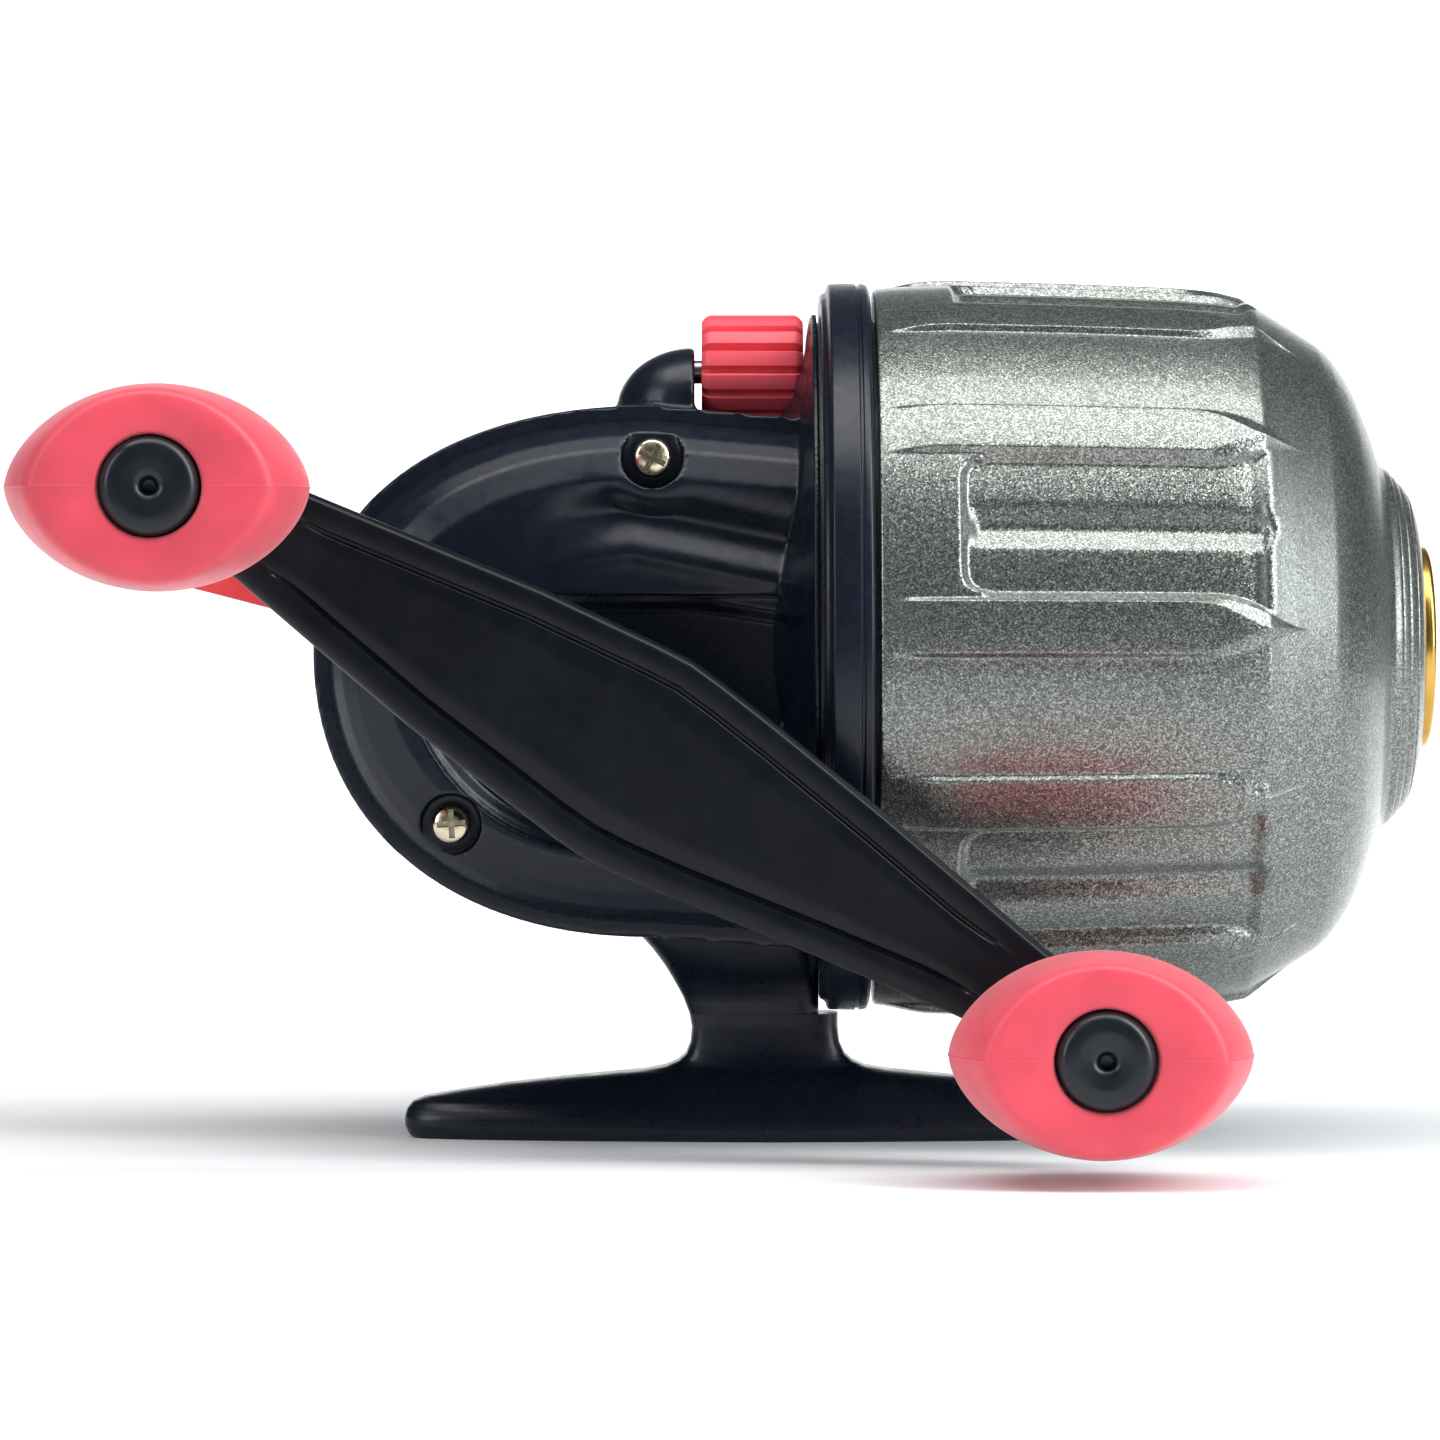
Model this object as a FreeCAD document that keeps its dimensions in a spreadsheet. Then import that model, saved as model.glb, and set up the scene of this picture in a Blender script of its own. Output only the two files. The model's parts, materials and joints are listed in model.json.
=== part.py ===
"""Spincast reel, built as separate pieces about three axes.

Frame: millimetres, +X out of the nose, +Z up, +Y away from the crank side.
The origin is the centre of the foot's flat underside.
The line axis runs along X at axis_height. The crank axis runs along Y below and behind it.
"""
import FreeCAD
import Part
import math
import os
import Sketcher

Vector = FreeCAD.Vector
Rotation = FreeCAD.Rotation
Placement = FreeCAD.Placement

X_DIR = Vector(1, 0, 0)
Y_DIR = Vector(0, 1, 0)
Z_DIR = Vector(0, 0, 1)

# ---------------------------------------------------------------- driving dimensions (mm, degrees)

DIMENSIONS = {
    # axes
    "axis_height": 42.1,
    "crank_x": -11.6,
    "crank_z": 32.6,
    "running_gap": 0.05,
    # housing
    "housing_centre_x": -10.0,
    "housing_rear": -38.9,
    "housing_top": 62.8,
    "housing_bottom": 17.4,
    "housing_front": 3.9,
    "housing_power": 2.2,
    "housing_half_width": 19.0,
    "flat_half_width": 11.0,
    "edge_round": 7.0,
    "seam_y": -13.5,
    "cover_inset": 1.2,
    "wall": 1.8,
    "bell_neck_radius": 18.2,
    "bell_rim_radius": 28.6,
    "hump_rear": -13.2,
    "hump_front": -6.5,
    "hump_radius": 5.4,
    "hump_height": 62.4,
    # collar, deck plate and front cover
    "collar_rear": 4.2,
    "collar_front": 8.4,
    "collar_radius": 31.2,
    "deck_front": 6.6,
    "deck_radius": 27.8,
    "deck_rim_front": 14.0,
    "deck_rim_wall": 1.6,
    "cover_rear": 8.7,
    "cover_shoulder": 41.5,
    "cover_nose": 51.9,
    "cover_nose_radius": 16.0,
    "cover_radius": 31.0,
    "cover_wall": 1.8,
    "rib_height": 0.5,
    "cover_sectors": 6,
    "wide_field": 23.4,
    "narrow_field": 18.2,
    "panel_width": 15.0,
    "cover_clocking": 10.4,
    "guide_radius": 8.6,
    "guide_bore": 4.0,
    "guide_front": 56.5,
    # foot
    "foot_half_length": 31.5,
    "foot_half_width": 7.5,
    "foot_tip_height": 3.6,
    "foot_waist_height": 6.6,
    "stem_rear": -6.7,
    "stem_front": 5.8,
    "stem_half_width": 3.6,
    "saddle_rear": -11.8,
    "saddle_half_width": 8.0,
    "saddle_bottom": 14.4,
    # thumb button
    "thumb_pivot_x": -31.0,
    "thumb_pivot_z": 31.0,
    "thumb_half_width": 7.0,
    "thumb_slot_half_width": 7.7,
    "thumb_slot_bottom": 41.8,
    "thumb_slot_top": 54.3,
    # crank and knobs
    "crank_angle": 31.0,
    "knob_reach": 43.45,
    "arm_rear": -32.2,
    "arm_front": -36.0,
    "arm_half_width": 9.0,
    "arm_tip_radius": 3.9,
    "shaft_radius": 3.0,
    "knob_half_length": 12.1,
    "knob_half_height": 8.25,
    "knob_rear": -39.0,
    "knob_front": -58.0,
    "spindle_radius": 1.8,
    "knob_cap_radius": 4.0,
    # gears
    "gear_teeth": 44,
    "gear_radius": 12.9,
    "gear_face_y": -3.8,
    "gear_tooth_y": -2.85,
    "gear_back_y": -7.0,
    "pinion_teeth": 16,
    "pinion_radius": 3.45,
    "pinion_root": 2.5,
    "pinion_rear": -5.0,
    "pinion_front": -0.8,
    "ratchet_teeth": 12,
    "ratchet_radius": 9.0,
    "ratchet_root": 7.4,
    "ratchet_near": -9.8,
    "ratchet_far": -8.2,
    "pawl_x": -26.7,
    "pawl_z": 34.1,
    "pawl_reach": 10.0,
    "pawl_rest_angle": 32.0,
    # centre shaft, spinner head and spool
    "centre_radius": 1.5,
    "centre_rear": -28.6,
    "centre_front": 46.0,
    "spinner_rear": 24.0,
    "spinner_front": 42.0,
    "spinner_radius": 24.4,
    "spinner_wall": 1.5,
    "pickup_x": 37.4,
    "pickup_radius": 1.0,
    "spool_rear": 11.6,
    "spool_front": 30.0,
    "spool_flange": 20.6,
    "spool_drum": 11.0,
    "spool_flange_wall": 1.5,
    "line_radius": 18.2,
    "hub_radius": 6.0,
    # drag
    "dial_height": 65.7,
    "dial_rear": -5.9,
    "dial_front": 2.8,
    "dial_radius": 4.9,
    "dial_root": 4.3,
    "dial_teeth": 15,
    "dial_axle_radius": 1.0,
    "drag_teeth": 65,
    "drag_radius": 19.2,
    "drag_root": 18.5,
    "drag_bore": 16.2,
    "drag_rear": 1.5,
    "drag_front": 3.5,
    # side cover screws
    "screw_top_x": -10.0,
    "screw_top_z": 58.0,
    "screw_low_x": -26.8,
    "screw_low_z": 27.4,
    "screw_head_radius": 1.65,
    "screw_recess_radius": 2.6,
    "screw_radius": 1.1,
}

doc = FreeCAD.newDocument("SpincastReel")
sheet = doc.addObject("Spreadsheet::Sheet", "Dimensions")
for row, (name, number) in enumerate(DIMENSIONS.items(), start=1):
    sheet.set("A%d" % row, name)
    sheet.set("B%d" % row, str(number))
    sheet.setAlias("B%d" % row, name)
doc.recompute()


class Size:
    """A length or angle: its number, and the sheet expression that gives it."""

    def __init__(self, number, text=None):
        self.number = float(number)
        self.text = text or "(%.6g)" % number

    def __add__(self, other):
        other = as_size(other)
        return Size(self.number + other.number, "(%s + %s)" % (self.text, other.text))

    __radd__ = __add__

    def __sub__(self, other):
        other = as_size(other)
        return Size(self.number - other.number, "(%s - %s)" % (self.text, other.text))

    def __mul__(self, factor):
        factor = as_size(factor)
        return Size(self.number * factor.number, "(%s * %s)" % (self.text, factor.text))

    def __neg__(self):
        return self * -1

    def __float__(self):
        return self.number


def as_size(value):
    return value if isinstance(value, Size) else Size(value)


class Sheet:
    """The sheet's cells as sizes, such as D.wall."""

    def __getattr__(self, name):
        return Size(sheet.get(name), "Dimensions." + name)


D = Sheet()

# ---------------------------------------------------------------- helpers

pieces = []


def drive(thing, prop, size):
    """Bind a property to the sheet."""
    thing.setExpression(prop, as_size(size).text)


def place(thing, x=0, y=0, z=0):
    for prop, size in (("x", x), ("y", y), ("z", z)):
        drive(thing, "Placement.Base." + prop, size)


def finish(thing, label):
    """Name a finished piece. Its label is the name of its file."""
    thing.Label = label
    pieces.append(thing)
    return thing


def new_body(name):
    return doc.addObject("PartDesign::Body", name + "_body")


def origin_part(body, role):
    return next(f for f in body.Origin.OriginFeatures if f.Role == role)


def outline(body, plane, points, offset=None):
    """A closed sketch of straight edges, with every corner bound to the sheet."""
    sketch = body.newObject("Sketcher::SketchObject", "Sketch")
    sketch.AttachmentSupport = [(origin_part(body, plane), "")]
    sketch.MapMode = "FlatFace"
    if offset is not None:
        drive(sketch, "AttachmentOffset.Base.z", offset)
    corners = [(as_size(u), as_size(v)) for u, v in points]
    flat = [Vector(u.number, v.number, 0) for u, v in corners]
    for start, end in zip(flat, flat[1:] + flat[:1]):
        sketch.addGeometry(Part.LineSegment(start, end), False)
    for i, (u, v) in enumerate(corners):
        sketch.addConstraint(Sketcher.Constraint("Coincident", i, 2, (i + 1) % len(corners), 1))
        for kind, size in (("DistanceX", u), ("DistanceY", v)):
            number = sketch.addConstraint(Sketcher.Constraint(kind, i, 1, size.number))
            drive(sketch, "Constraints[%d]" % number, size)
    return sketch


def round_outline(body, plane, u, v, radius, offset=None):
    """A circle whose centre and radius are bound to the sheet."""
    sketch = body.newObject("Sketcher::SketchObject", "Sketch")
    sketch.AttachmentSupport = [(origin_part(body, plane), "")]
    sketch.MapMode = "FlatFace"
    if offset is not None:
        drive(sketch, "AttachmentOffset.Base.z", offset)
    u, v, radius = as_size(u), as_size(v), as_size(radius)
    sketch.addGeometry(Part.Circle(Vector(u.number, v.number, 0), Z_DIR, radius.number), False)
    for kind, size in (("DistanceX", u), ("DistanceY", v)):
        number = sketch.addConstraint(Sketcher.Constraint(kind, 0, 3, size.number))
        drive(sketch, "Constraints[%d]" % number, size)
    number = sketch.addConstraint(Sketcher.Constraint("Radius", 0, radius.number))
    drive(sketch, "Constraints[%d]" % number, radius)
    return sketch


def turn(body, sketch, axis="H_Axis"):
    feature = body.newObject("PartDesign::Revolution", "Turn")
    feature.Profile = sketch
    feature.ReferenceAxis = (sketch, [axis])
    feature.Angle = 360
    return feature


def extrude(body, sketch, length, reverse=False):
    feature = body.newObject("PartDesign::Pad", "Pad")
    feature.Profile = sketch
    drive(feature, "Length", length)
    feature.Reversed = reverse
    return feature


def pocket(body, sketch, length, reverse=False):
    """Cut a sketch out of a body, and make sure that it takes something away."""
    doc.recompute()
    before = body.Shape.Volume
    feature = body.newObject("PartDesign::Pocket", "Pocket")
    feature.Profile = sketch
    drive(feature, "Length", length)
    feature.Reversed = reverse
    doc.recompute()
    assert body.Shape.Volume < before, "a pocket cuts nothing in " + body.Name
    return feature


def groove(body, sketch, angle):
    """Cut a sketch round the X axis through an angle that it halves."""
    doc.recompute()
    before = body.Shape.Volume
    feature = body.newObject("PartDesign::Groove", "Groove")
    feature.Profile = sketch
    feature.ReferenceAxis = (sketch, ["H_Axis"])
    feature.Midplane = True
    drive(feature, "Angle", angle)
    doc.recompute()
    assert body.Shape.Volume < before, "a groove cuts nothing in " + body.Name
    return feature


def repeat(body, feature, axis, count):
    """Repeat a feature evenly round one of the body's own axes."""
    pattern = body.newObject("PartDesign::PolarPattern", "Pattern")
    pattern.Originals = [feature]
    pattern.Axis = (origin_part(body, axis), [""])
    pattern.Angle = 360
    drive(pattern, "Occurrences", count)
    body.Tip = pattern
    return pattern


def turned(label, points, axis="X", at=(0, 0, 0)):
    """A turned piece: corners are (along the axis, radius), or (radius, up) about Z."""
    body = new_body(label)
    plane = "YZ_Plane" if axis == "Y" else "XZ_Plane"
    turn(body, outline(body, plane, points), "V_Axis" if axis == "Z" else "H_Axis")
    place(body, *at)
    return finish(body, label)


def tube(start, end, inner, outer):
    """The four corners of a sleeve, for turned()."""
    return [(start, inner), (start, outer), (end, outer), (end, inner)]


def solid(label, shape):
    """A piece whose free shape is made with Part's own functions."""
    feature = doc.addObject("Part::Feature", label + "_shape")
    feature.Shape = shape
    return finish(feature, label)


def number_of(*sizes):
    """The plain numbers of some sizes, for Part's functions."""
    return [float(size) for size in sizes]


def cylinder(radius, start, length, direction, centre):
    """A cylinder from a point given by its distance along a direction through a centre."""
    base = Vector(*number_of(*centre)) + direction * float(start)
    return Part.makeCylinder(float(radius), float(length), base, direction)


def block(x0, x1, y0, y1, z0, z1):
    x0, x1, y0, y1, z0, z1 = number_of(x0, x1, y0, y1, z0, z1)
    return Part.makeBox(x1 - x0, y1 - y0, z1 - z0, Vector(x0, y0, z0))


def turned_shape(points, height):
    """A solid of revolution about the X axis at a height, from (x, radius) corners."""
    wire = Part.makePolygon([Vector(float(x), 0, float(r)) for x, r in points + points[:1]])
    shape = Part.Face(wire).revolve(Vector(0, 0, 0), X_DIR, 360)
    shape.translate(Vector(0, 0, float(height)))
    return shape


def coil(wire_radius, mean_radius, length, turns, foot, direction):
    """A coil spring that starts at a point and winds along a direction."""
    helix = Part.makeHelix(length / turns, length, mean_radius)
    helix.Placement = Placement(foot, Rotation(Z_DIR, direction))
    path = Part.Wire(helix.Edges)
    first = path.Edges[0]
    begin = first.valueAt(first.FirstParameter)
    section = Part.Wire(Part.makeCircle(wire_radius, begin, first.tangentAt(first.FirstParameter)))
    return path.makePipeShell([section], True, True)


# where each foot screw stands, where its head sits and where its tip ends
FOOT_SCREWS = [(-7.4, 18.9, 15.4), (-2.0, 18.4, 9.4)]

LINE_AXIS = (0, 0, D.axis_height)
CRANK_AXIS = (D.crank_x, 0, D.crank_z)

# ---------------------------------------------------------------- housing


def pod_wire(inset, y):
    """The housing's side outline, moved inwards: a superellipse behind, straight in front."""
    power = 2 / float(D.housing_power)
    centre = Vector(float(D.housing_centre_x), y, float(D.axis_height))
    length = float(D.housing_centre_x) - float(D.housing_rear) - inset
    rise = float(D.housing_top) - float(D.axis_height) - inset
    drop = float(D.axis_height) - float(D.housing_bottom) - inset
    front = float(D.housing_front)
    points = []
    steps = 16
    for i in range(steps + 1):
        angle = math.pi / 2 + math.pi * i / steps
        across = -length * abs(math.cos(angle)) ** power
        up = math.sin(angle)
        reach = rise if up > 0 else drop
        points.append(centre + Vector(across, 0, math.copysign(reach * abs(up) ** power, up)))
    curve = Part.BSplineCurve()
    curve.interpolate(points)
    top_front = Vector(front, y, points[0].z - 1.2)
    low_front = Vector(front, y, points[-1].z - 1.0)
    edges = [
        curve.toShape(),
        Part.makeLine(points[-1], low_front),
        Part.makeLine(low_front, top_front),
        Part.makeLine(top_front, points[0]),
    ]
    return Part.Wire(edges)


def pod(start, end, inset):
    """A slice of the housing between two planes, rounded towards its outer side."""
    flat, full, bend = number_of(D.flat_half_width, D.housing_half_width, D.edge_round)
    levels = [start, end]
    steps = 6
    side = math.copysign(1, end if abs(end) > abs(start) else start)
    for i in range(steps):
        level = side * (flat + (full - flat) * i / steps)
        if min(start, end) < level < max(start, end):
            levels.append(level)
    wires = []
    for level in sorted(set(levels)):
        lean = max(0.0, (abs(level) - flat) / (full - flat) * 0.97)
        wires.append(pod_wire(inset + bend * (1 - math.sqrt(1 - lean * lean)), level))
    return Part.makeLoft(wires, True, True)


def bell():
    """The flare that joins the housing to the round collar."""
    neck, rim, front = number_of(D.bell_neck_radius, D.bell_rim_radius, D.housing_front)
    rear = front - 14
    flare = Part.BSplineCurve()
    flare.interpolate([
        Vector(rear, 0, neck - 1),
        Vector(front - 8, 0, neck),
        Vector(front - 4.2, 0, neck + 0.5),
        Vector(front - 2.9, 0, neck + 2.1),
        Vector(front - 1.6, 0, neck + 5.0),
        Vector(front - 0.5, 0, rim),
    ])
    edges = [
        flare.toShape(),
        Part.makeLine(Vector(front - 0.5, 0, rim), Vector(front, 0, rim)),
        Part.makeLine(Vector(front, 0, rim), Vector(front, 0, 0)),
        Part.makeLine(Vector(front, 0, 0), Vector(rear, 0, 0)),
        Part.makeLine(Vector(rear, 0, 0), Vector(rear, 0, neck - 1)),
    ]
    shape = Part.Face(Part.Wire(edges)).revolve(Vector(0, 0, 0), X_DIR, 360)
    shape.translate(Vector(0, 0, float(D.axis_height)))
    return shape


def bell_cavity():
    """The round hollow in front, with a wider pocket for the drag gear."""
    front = float(D.housing_front)
    pocket_rear = float(D.drag_rear) - 0.25
    neck = float(D.bell_neck_radius) - float(D.wall)
    wide = float(D.drag_radius) + 0.7
    return turned_shape([
        (front - 16, 0),
        (front - 16, neck - 1),
        (pocket_rear, neck),
        (pocket_rear, wide),
        (front, wide),
        (front, 0),
    ], D.axis_height)


def hump():
    """The rounded bump behind the drag dial."""
    length = float(D.hump_front) - float(D.hump_rear)
    radius = float(D.hump_radius)
    dome = Part.makeSphere(radius)
    stretch = FreeCAD.Matrix()
    stretch.scale(length / radius, 1, 1)
    dome = dome.transformGeometry(stretch)
    dome.translate(Vector(float(D.hump_front), 0, float(D.hump_height)))
    ahead = block(D.hump_front, 20, -20, 20, 0, 90)
    return dome.cut(ahead)


def side_half(shape, near):
    """The part of a shape on one side of the seam between housing and side cover."""
    far_edge, near_edge = (60, D.seam_y) if not near else (D.seam_y, -60)
    return shape.common(block(-60, 60, near_edge, far_edge, 0, 100))


def boss(x, z, radius, start, end):
    """A round post along Y."""
    start, end = sorted(number_of(start, end))
    return cylinder(radius, start, end - start, Y_DIR, (x, 0, z))


def dial_slot():
    """The slot for the drag dial in the top of the housing."""
    room = 0.35
    radius = float(D.dial_radius) + room
    start = float(D.dial_rear) - room
    length = float(D.dial_front) + 0.25 - start
    return cylinder(radius, start, length, X_DIR, (0, 0, D.dial_height))


def body_frame():
    seam, half, wall = number_of(D.seam_y, D.housing_half_width, D.wall)
    outer = pod(seam, half, 0).fuse(side_half(bell(), near=False)).fuse(hump())
    inner = pod(seam, half - wall, wall).fuse(side_half(bell_cavity(), near=False))
    frame = outer.cut(inner)
    posts = [
        boss(D.screw_top_x, D.screw_top_z, 2.6, seam, half - wall),
        boss(D.screw_low_x, D.screw_low_z, 2.6, seam, half - wall),
        boss(D.crank_x, D.crank_z, 5.4, 10.5, half - wall),
        boss(D.pawl_x, D.pawl_z, 1.6, D.ratchet_far + 0.2, half - wall),
    ]
    room = outer.common(pod(seam, half, 0.2).fuse(bell()))
    for post in posts:
        frame = frame.fuse(post.common(room))
    bearing = cylinder(4.2, -12.5, 3.5, X_DIR, LINE_AXIS)
    web = block(-12.5, -9.0, 0, half - wall, float(D.axis_height) - 1.6, float(D.axis_height) + 1.6)
    gear_room = boss(D.crank_x, D.crank_z, float(D.gear_radius) + 0.3, -9, -2.4)
    frame = frame.fuse(bearing).fuse(web)
    rear_ears = [block(-36.0, -29.15, side * 8.7 - 0.8, side * 8.7 + 0.8, 22.0, 34.0) for side in (-1, 1)]
    for ear in rear_ears:
        frame = frame.fuse(ear.common(pod(seam, half, 1.0)))
    cuts = [
        dial_slot(),
        block(-60, -30.6, -D.thumb_slot_half_width, D.thumb_slot_half_width,
              D.thumb_slot_bottom, D.thumb_slot_top),
        boss(D.screw_top_x, D.screw_top_z, D.screw_radius, seam, seam + 9),
        boss(D.screw_low_x, D.screw_low_z, D.screw_radius, seam, seam + 9),
        boss(D.crank_x, D.crank_z, 4.2, 10.5, 16.0),
        boss(D.pawl_x, D.pawl_z, 0.9, D.ratchet_far, -2),
        boss(D.thumb_pivot_x, D.thumb_pivot_z, 1.2, -9.6, 9.6),
        cylinder(3.2, -13, 5, X_DIR, LINE_AXIS),
        gear_room.common(block(-25, 2, -9, 0, 30, 60)),
        cylinder(D.dial_axle_radius, -8.5, 20, X_DIR, (0, 0, D.dial_height)),
    ]
    for x, seat, tip in FOOT_SCREWS:
        cuts.append(cylinder(1.3, tip, 20 - tip, Z_DIR, (x, 0, 0)))
        cuts.append(cylinder(2.3, seat, 4, Z_DIR, (x, 0, 0)))
    for cut in cuts:
        frame = frame.cut(cut)
    return solid("body_frame", frame.removeSplitter())


def side_cover():
    seam, half, wall, inset = number_of(D.seam_y, D.housing_half_width, D.wall, D.cover_inset)
    outer = pod(-half, seam, inset).fuse(side_half(bell(), near=True))
    inner = pod(wall - half, seam, inset + wall).fuse(side_half(bell_cavity(), near=True))
    shell = outer.cut(inner)
    posts = [
        boss(D.screw_top_x, D.screw_top_z, D.screw_recess_radius + 0.9, -17.6, seam),
        boss(D.screw_low_x, D.screw_low_z, D.screw_recess_radius + 0.9, -17.6, seam),
        boss(D.crank_x, D.crank_z, 6.0, -17.6, -15.0),
    ]
    for post in posts:
        shell = shell.fuse(post.common(outer))
    shell = shell.fuse(boss(D.crank_x, D.crank_z, 7.4, -21.5, -18.0))
    recess = boss(-13.6, 42.3, 17.2, -half, -half + 0.7).cut(block(-40, 10, -20, -18, 46.6, 62))
    ring_seat = boss(D.crank_x, D.crank_z, 7.4, -22, -18)
    cuts = [
        recess.cut(ring_seat),
        boss(D.screw_top_x, D.screw_top_z, D.screw_recess_radius, -25, -16.0),
        boss(D.screw_low_x, D.screw_low_z, D.screw_recess_radius, -25, -16.0),
        boss(D.screw_top_x, D.screw_top_z, D.screw_radius, -25, seam),
        boss(D.screw_low_x, D.screw_low_z, D.screw_radius, -25, seam),
        boss(D.crank_x, D.crank_z, 4.6, -25, -15.0),
    ]
    for cut in cuts:
        shell = shell.cut(cut)
    return solid("side_cover", shell)


def side_cover_screws():
    """Two cross-head screws that hold the side cover to the housing's posts."""
    screws = []
    for x, z in ((D.screw_top_x, D.screw_top_z), (D.screw_low_x, D.screw_low_z)):
        head = boss(x, z, D.screw_head_radius, -17.4, -16.0)
        head = head.makeFillet(0.5, [edge for edge in head.Edges if edge.BoundBox.YMax < -17.3])
        screw = head.fuse(boss(x, z, D.screw_radius, -16.0, float(D.seam_y) + 8))
        for turn_by in (0, 90):
            slot = Part.makeBox(2.0, 0.9, 0.5, Vector(-1.0, -0.1, -0.25))
            slot.rotate(Vector(0, 0, 0), Y_DIR, turn_by)
            slot.translate(Vector(float(x), -17.4, float(z)))
            screw = screw.cut(slot)
        screws.append(screw)
    return solid("side_cover_screws", Part.makeCompound(screws))


# ---------------------------------------------------------------- foot


def foot_side():
    """The foot's side outline as a face: a long low base, and the stem that rises to the housing."""
    half, tip, waist = number_of(D.foot_half_length, D.foot_tip_height, D.foot_waist_height)
    stem_rear, stem_front = number_of(D.stem_rear, D.stem_front)
    top = float(D.housing_bottom) + 3
    base_ends = [Vector(half - 2.4, 0, 0), Vector(2.4 - half, 0, 0)]
    corners = [
        base_ends[1],
        Vector(-half, 0, 1.9),
        Vector(2.4 - half, 0, tip),
        Vector(stem_rear - 3.0, 0, waist - 1.0),
        Vector(stem_rear, 0, waist + 2.0),
        Vector(stem_rear - 0.6, 0, 12.2),
        Vector(stem_rear - 5.1, 0, top),
        Vector(stem_front, 0, top),
        Vector(stem_front, 0, waist + 2.0),
        Vector(stem_front + 3.0, 0, waist - 1.0),
        Vector(half - 2.4, 0, tip),
        Vector(half, 0, 1.9),
        base_ends[0],
    ]
    edges = [
        Part.Arc(corners[0], Vector(0.6 - half, 0, 0.7), corners[1]).toShape(),
        Part.Arc(corners[1], Vector(0.6 - half, 0, 3.0), corners[2]).toShape(),
        Part.makeLine(corners[2], corners[3]),
        Part.Arc(corners[3], Vector(stem_rear - 0.8, 0, waist + 0.1), corners[4]).toShape(),
        Part.makeLine(corners[4], corners[5]),
        Part.Arc(corners[5], Vector(stem_rear - 2.4, 0, 15.8), corners[6]).toShape(),
        Part.makeLine(corners[6], corners[7]),
        Part.makeLine(corners[7], corners[8]),
        Part.Arc(corners[8], Vector(stem_front + 0.8, 0, waist + 0.1), corners[9]).toShape(),
        Part.makeLine(corners[9], corners[10]),
        Part.Arc(corners[10], Vector(half - 0.6, 0, 3.0), corners[11]).toShape(),
        Part.Arc(corners[11], Vector(half - 0.6, 0, 0.7), corners[12]).toShape(),
        Part.makeLine(corners[12], corners[0]),
    ]
    return Part.Face(Part.Wire(edges))


def foot_plan():
    """The base seen from above: widest under the stem, narrowing to round toes."""
    half, width = number_of(D.foot_half_length, D.foot_half_width)
    toe = width * 0.62
    points = [(-half + toe, -toe), (-7, -width), (7, -width), (half - toe, -toe)]
    right = [Vector(x, y, 0) for x, y in points]
    left = [Vector(x, -y, 0) for x, y in reversed(points)]
    edges = [Part.makeLine(a, b) for a, b in zip(right, right[1:])]
    edges.append(Part.Arc(right[-1], Vector(half, 0, 0), left[0]).toShape())
    edges += [Part.makeLine(a, b) for a, b in zip(left, left[1:])]
    edges.append(Part.Arc(left[-1], Vector(-half, 0, 0), right[0]).toShape())
    return Part.Face(Part.Wire(edges)).extrude(Vector(0, 0, float(D.foot_waist_height)))


def reel_foot():
    half_width, stem, saddle = number_of(D.foot_half_width, D.stem_half_width, D.saddle_half_width)
    side = foot_side()
    side.translate(Vector(0, -half_width - 1, 0))
    side = side.extrude(Vector(0, 2 * half_width + 2, 0))
    base = side.common(foot_plan())
    column = side.common(block(-20, 20, -stem, stem, 1, 30))
    top = float(D.housing_bottom) + 2
    saddle_block = block(D.saddle_rear, D.stem_front, -saddle, saddle, D.saddle_bottom, top).common(side)
    flare_wires = []
    for height, width in ((11.0, stem), (13.2, stem + 1.2), (float(D.saddle_bottom), saddle)):
        rear, front = number_of(D.stem_rear, D.stem_front)
        loop = [Vector(x, y, height) for x, y in
                ((rear, -width), (front, -width), (front, width), (rear, width))]
        flare_wires.append(Part.makePolygon(loop + loop[:1]))
    flare = Part.makeLoft(flare_wires, True, True)
    foot = base.fuse(column).fuse(saddle_block).fuse(flare)
    seam, half = number_of(D.seam_y, D.housing_half_width)
    foot = foot.cut(pod(seam, half, 0)).cut(bell())
    foot = foot.cut(cylinder(float(D.collar_radius) + 0.1, D.housing_front, 10, X_DIR, LINE_AXIS))
    for side_x in (-1, 1):
        pocket_start, pocket_end = sorted((side_x * 9.0, side_x * 22.0))
        foot = foot.cut(block(pocket_start, pocket_end, -3.2, 3.2, -1, 2.0))
    for x, _seat, tip in FOOT_SCREWS:
        foot = foot.cut(cylinder(1.3, tip, 20, Z_DIR, (x, 0, 0)))
    return solid("reel_foot", foot.removeSplitter())


def foot_screws():
    """Screws that hold the foot, driven down from inside the housing."""
    screws = []
    for x, seat, tip in FOOT_SCREWS:
        head = cylinder(2.1, seat, 1.2, Z_DIR, (x, 0, 0))
        screws.append(head.fuse(cylinder(1.3, tip, seat - tip, Z_DIR, (x, 0, 0))))
    return solid("foot_screws", Part.makeCompound(screws))


# ---------------------------------------------------------------- collar, deck plate and front cover


def collar_ring():
    """The round collar between housing and front cover, with a thin lip behind."""
    bore = D.deck_radius + 0.02
    return turned("collar_ring", [
        (D.collar_rear, bore),
        (D.collar_rear, D.collar_radius - 0.7),
        (D.collar_rear + 0.6, D.collar_radius - 0.7),
        (D.collar_rear + 0.8, D.collar_radius),
        (D.collar_front - 0.4, D.collar_radius),
        (D.collar_front, D.collar_radius - 0.4),
        (D.collar_front, bore),
    ], at=LINE_AXIS)


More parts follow.
